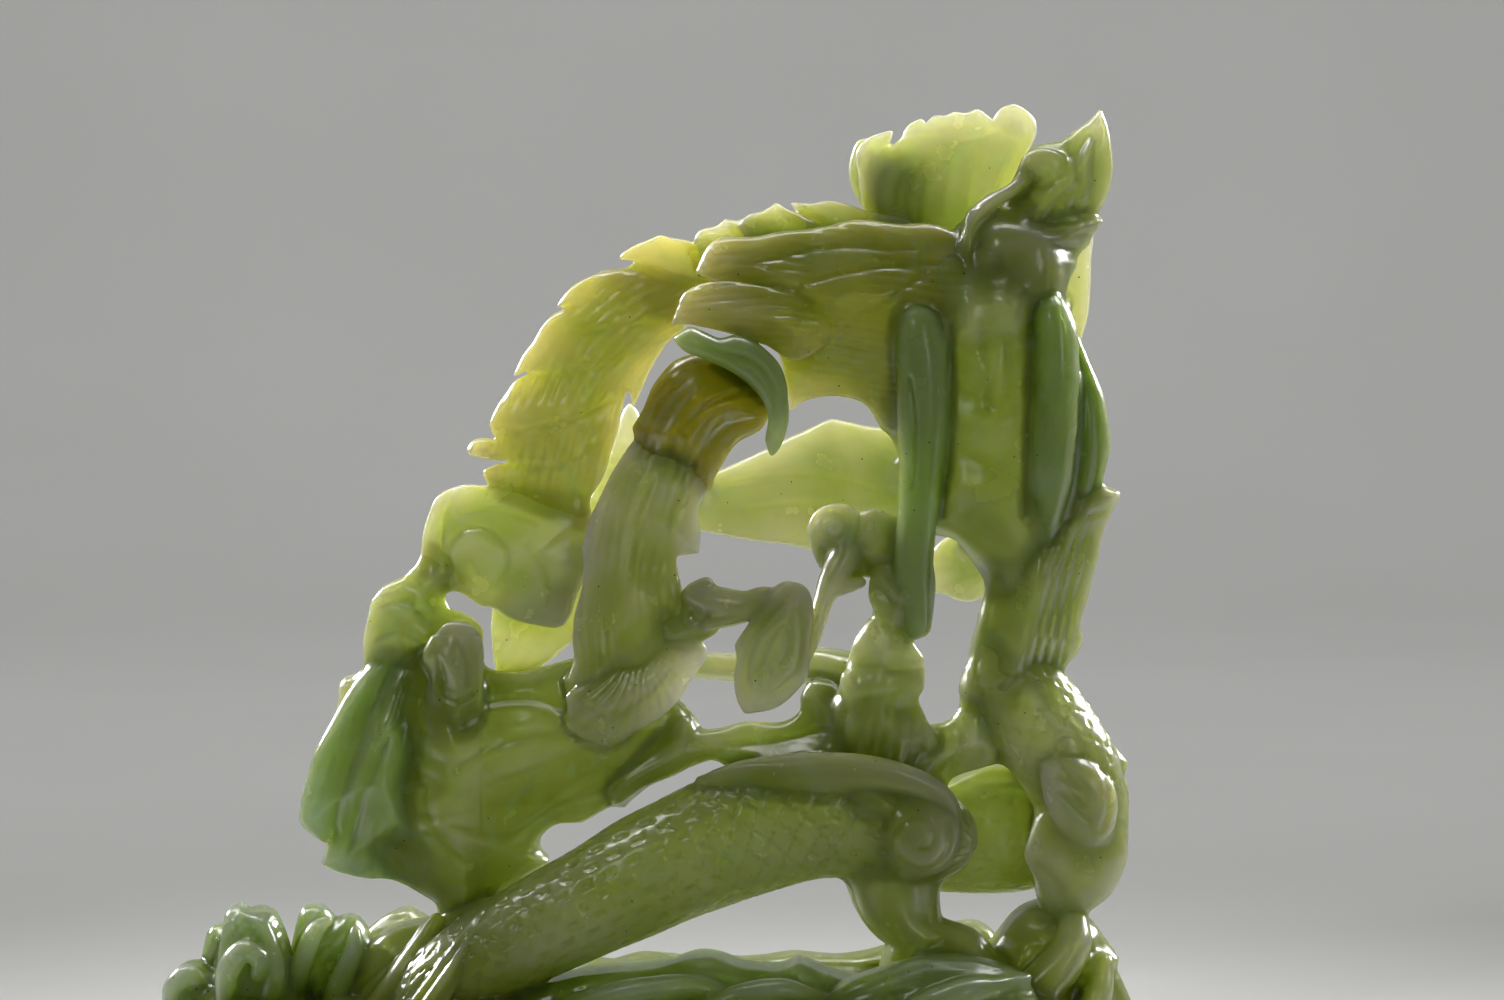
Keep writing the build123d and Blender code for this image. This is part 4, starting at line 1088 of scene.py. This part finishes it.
def jade(tone):
    """Translucent jade: colour from how much stone lies around each point, with painted glow where it is
    thin and painted shade where it is thick or in creases, cloudy veins, specks and a waxy polish.
    """
    tint = TONES[tone]
    material = bpy.data.materials.new("jade_" + tone)
    material.use_nodes = True
    tree = material.node_tree
    tree.nodes.clear()

    def node(kind, **inputs):
        made = tree.nodes.new(kind)
        for name, value in inputs.items():
            made.inputs[name.replace("_", " ")].default_value = value
        return made

    def link(source, output, target, socket):
        tree.links.new(source.outputs[output], target.inputs[socket])

    place = node("ShaderNodeTexCoord")
    glow_shade_bulk = node("ShaderNodeAttribute")
    glow_shade_bulk.attribute_name = "glow_shade_bulk"
    cloud = node("ShaderNodeTexNoise", Scale=38.0, Detail=4.0, Roughness=0.55, Distortion=0.8)
    link(place, "Object", cloud, "Vector")
    shift = node("ShaderNodeMath")
    shift.operation = "MULTIPLY_ADD"
    shift.inputs[1].default_value = 0.5
    shift.inputs[2].default_value = -0.25
    link(cloud, "Fac", shift, 0)
    depth = node("ShaderNodeMath")
    depth.operation = "ADD"
    link(glow_shade_bulk, "Fac", depth, 0)
    link(shift, "Value", depth, 1)
    # Painted light: the ramp runs from pale colours, painted glow for thin stone lit from behind, to dark
    # colours, painted shade for thick stone and creases; the cloud noise adds real cloudiness.
    ramp = node("ShaderNodeValToRGB")
    glow_shade_stops = [
        (0.10, (0.66, 0.65, 0.56)),
        (0.28, (0.52, 0.54, 0.33)),
        (0.46, (0.40, 0.46, 0.12)),
        (0.68, (0.31, 0.38, 0.03)),
        (0.92, (0.27, 0.32, 0.012)),
    ]
    while len(ramp.color_ramp.elements) < len(glow_shade_stops):
        ramp.color_ramp.elements.new(0.5)
    for element, (position, colour) in zip(ramp.color_ramp.elements, glow_shade_stops):
        element.position = position
        element.color = tuple(min(c * t, 0.9) for c, t in zip(colour, tint)) + (1.0,)
    link(depth, "Value", ramp, "Fac")

    vein = node("ShaderNodeTexNoise", Scale=95.0, Detail=5.0, Roughness=0.6, Distortion=1.6)
    link(place, "Object", vein, "Vector")
    milk = node("ShaderNodeValToRGB")
    milk.color_ramp.elements[0].position = 0.52
    milk.color_ramp.elements[0].color = (0, 0, 0, 1)
    milk.color_ramp.elements[1].position = 0.74
    milk.color_ramp.elements[1].color = (0.35, 0.35, 0.35, 1)
    link(vein, "Fac", milk, "Fac")
    pale = node("ShaderNodeMix")
    pale.data_type = "RGBA"
    pale.inputs["B"].default_value = (0.42, 0.58, 0.34, 1)
    link(milk, "Color", pale, "Factor")
    link(ramp, "Color", pale, "A")

    spot = node("ShaderNodeTexVoronoi", Scale=260.0, Randomness=1.0)
    link(place, "Object", spot, "Vector")
    speck = node("ShaderNodeMath")
    speck.operation = "LESS_THAN"
    speck.inputs[1].default_value = 0.045
    link(spot, "Distance", speck, 0)
    stained = node("ShaderNodeMix")
    stained.data_type = "RGBA"
    stained.inputs["B"].default_value = (0.05, 0.06, 0.01, 1)
    link(speck, "Value", stained, "Factor")
    link(pale, "Result", stained, "A")

    polish = node("ShaderNodeTexNoise", Scale=150.0, Detail=3.0)
    link(place, "Object", polish, "Vector")
    rough = node("ShaderNodeMapRange", To_Min=0.15, To_Max=0.34)
    link(polish, "Fac", rough, "Value")

    tool = node("ShaderNodeTexNoise", Scale=330.0, Detail=2.0)
    link(place, "Object", tool, "Vector")
    bump = node("ShaderNodeBump", Strength=0.12, Distance=0.0006)
    link(tool, "Fac", bump, "Height")

    shader = node(
        "ShaderNodeBsdfPrincipled", IOR=1.56, Specular_IOR_Level=0.24, Subsurface_Weight=1.0,
        Subsurface_Radius=(1.0, 1.0, 0.35), Subsurface_Scale=0.015, Subsurface_Anisotropy=0.6,
        Transmission_Weight=0.3,
    )
    link(stained, "Result", shader, "Base Color")
    link(rough, "Result", shader, "Roughness")
    link(bump, "Normal", shader, "Normal")
    glow = node("ShaderNodeBsdfTranslucent")
    link(stained, "Result", glow, "Color")
    link(bump, "Normal", glow, "Normal")
    both = node("ShaderNodeMixShader", Fac=0.4)
    tree.links.new(shader.outputs["BSDF"], both.inputs[1])
    tree.links.new(glow.outputs["BSDF"], both.inputs[2])
    output = node("ShaderNodeOutputMaterial")
    link(both, "Shader", output, "Surface")
    return material


def place_pieces():
    """Mesh every mass, store its bulk attribute for the painted glow and shade of its colour, and put it in
    place of its CAD node.
    """
    stuff = {tone: jade(tone) for tone in TONES}
    low, grid = glow_shade_bulk_map()
    for number, name in enumerate(masses):
        body = mesh_of(name, number)
        points = np.empty(len(body.data.vertices) * 3, np.float32)
        body.data.vertices.foreach_get("co", points)
        # Painted glow and shade: the amount of stone around each vertex sets how pale or dark its colour is
        # painted.
        glow_shade_bulk = sample(low, grid, points.reshape(-1, 3) / MM)
        body.data.attributes.new("glow_shade_bulk", "FLOAT", "POINT").data.foreach_set("value", glow_shade_bulk.astype(np.float32))
        body.data.materials.append(stuff[TONE_OF.get(name, "olive")])
        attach(body, "root")
        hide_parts(name)


# ---------------------------------------------------------------- floor, light and camera

def backdrop():
    """Pale seamless sweep behind and below the carving."""
    half_width = 1.6
    front = -1.2
    height = 2.2
    bend = 0.35
    profile = [(front, 0.0)]
    for angle in np.linspace(0, math.pi / 2, 17):
        profile.append((WALL_BACK - bend + bend * math.sin(angle), bend - bend * math.cos(angle)))
    profile.append((WALL_BACK, height))
    points = [(side * half_width, y, z) for side in (-1, 1) for y, z in profile]
    count = len(profile)
    faces = [(i, i + 1, count + i + 1, count + i) for i in range(count - 1)]
    mesh = bpy.data.meshes.new("sweep")
    mesh.from_pydata(points, [], [face[::-1] for face in faces])
    mesh.shade_smooth()
    sweep = bpy.data.objects.new("sweep", mesh)
    bpy.context.scene.collection.objects.link(sweep)
    paper = bpy.data.materials.new("paper")
    paper.use_nodes = True
    tree = paper.node_tree
    shader = tree.nodes["Principled BSDF"]
    shader.inputs["Roughness"].default_value = 0.75
    shader.inputs["Specular IOR Level"].default_value = 0.2
    place = tree.nodes.new("ShaderNodeTexCoord")
    noise = tree.nodes.new("ShaderNodeTexNoise")
    noise.inputs["Scale"].default_value = 6.0
    tree.links.new(place.outputs["Object"], noise.inputs["Vector"])
    ramp = tree.nodes.new("ShaderNodeValToRGB")
    ramp.color_ramp.elements[0].color = (0.60, 0.60, 0.585, 1)
    ramp.color_ramp.elements[1].color = (0.66, 0.66, 0.645, 1)
    tree.links.new(noise.outputs["Fac"], ramp.inputs["Fac"])
    tree.links.new(ramp.outputs["Color"], shader.inputs["Base Color"])
    mesh.materials.append(paper)


def softbox(name, place, aim, size, power, spread=math.pi):
    """Rectangular area light at place, aimed at a point, its beam as wide as the spread."""
    light = bpy.data.lights.new(name, "AREA")
    light.shape = "RECTANGLE"
    light.size = size[0]
    light.size_y = size[1]
    light.energy = power
    light.spread = spread
    lamp = bpy.data.objects.new(name, light)
    bpy.context.scene.collection.objects.link(lamp)
    lamp.location = place
    direction = np.array(place, float) - np.array(aim, float)
    lamp.rotation_euler = vector_angles(direction)


def vector_angles(direction):
    """Euler angles that turn an object's -Z away from a direction."""
    flat = math.hypot(direction[0], direction[1])
    return (math.atan2(flat, direction[2]), 0, math.atan2(direction[0], -direction[1]))


def lights():
    softbox("wall_left", (-0.55, 0.30, 1.15), (-0.25, WALL_BACK, 0.28), (0.5, 0.3), WALL_POWER)
    softbox("wall_right", (0.55, 0.30, 1.15), (0.25, WALL_BACK, 0.28), (0.5, 0.3), WALL_POWER)
    softbox("top", (0.0, 0.12, 0.75), (0, 0, 0.1), (0.4, 0.25), 0.6)
    softbox("back_left", (-0.40, 0.28, 0.36), (0.02, -0.04, 0.14), (0.25, 0.3), BACK_POWER, BEAM)
    softbox("back_right", (0.44, 0.28, 0.36), (0.02, -0.04, 0.14), (0.25, 0.3), BACK_POWER, BEAM)
    softbox("key", (-0.45, -0.60, 0.75), (0, 0, 0.1), (0.12, 0.12), 1.3)
    softbox("fill", (0.45, -0.70, 0.35), (0, 0, 0.1), (0.10, 0.30), 0.8)
    world = bpy.data.worlds.new("room")
    bpy.context.scene.world = world
    world.use_nodes = True
    world.node_tree.nodes["Background"].inputs["Color"].default_value = (0.80, 0.80, 0.79, 1)
    world.node_tree.nodes["Background"].inputs["Strength"].default_value = 0.12


def camera():
    """Long lens at the photograph's viewing angle, framed to its picture."""
    width = 0.3008
    lens = 110.0
    sensor = 36.0
    elevation = math.radians(4.0)
    target = np.array((0.0214, -0.006, 0.115))
    distance = width * lens / sensor
    eye = target + distance * np.array((0, -math.cos(elevation), math.sin(elevation)))
    data = bpy.data.cameras.new("camera")
    data.lens = lens
    data.sensor_width = sensor
    holder = bpy.data.objects.new("camera", data)
    bpy.context.scene.collection.objects.link(holder)
    holder.location = eye
    holder.rotation_euler = vector_angles(eye - target)
    bpy.context.scene.camera = holder


carve_head()
carve_mane()
carve_left()
carve_body()
carve_column()
carve_clouds()
carve_base()
place_pieces()
backdrop()
lights()
camera()
bpy.context.scene.view_settings.view_transform = "Standard"
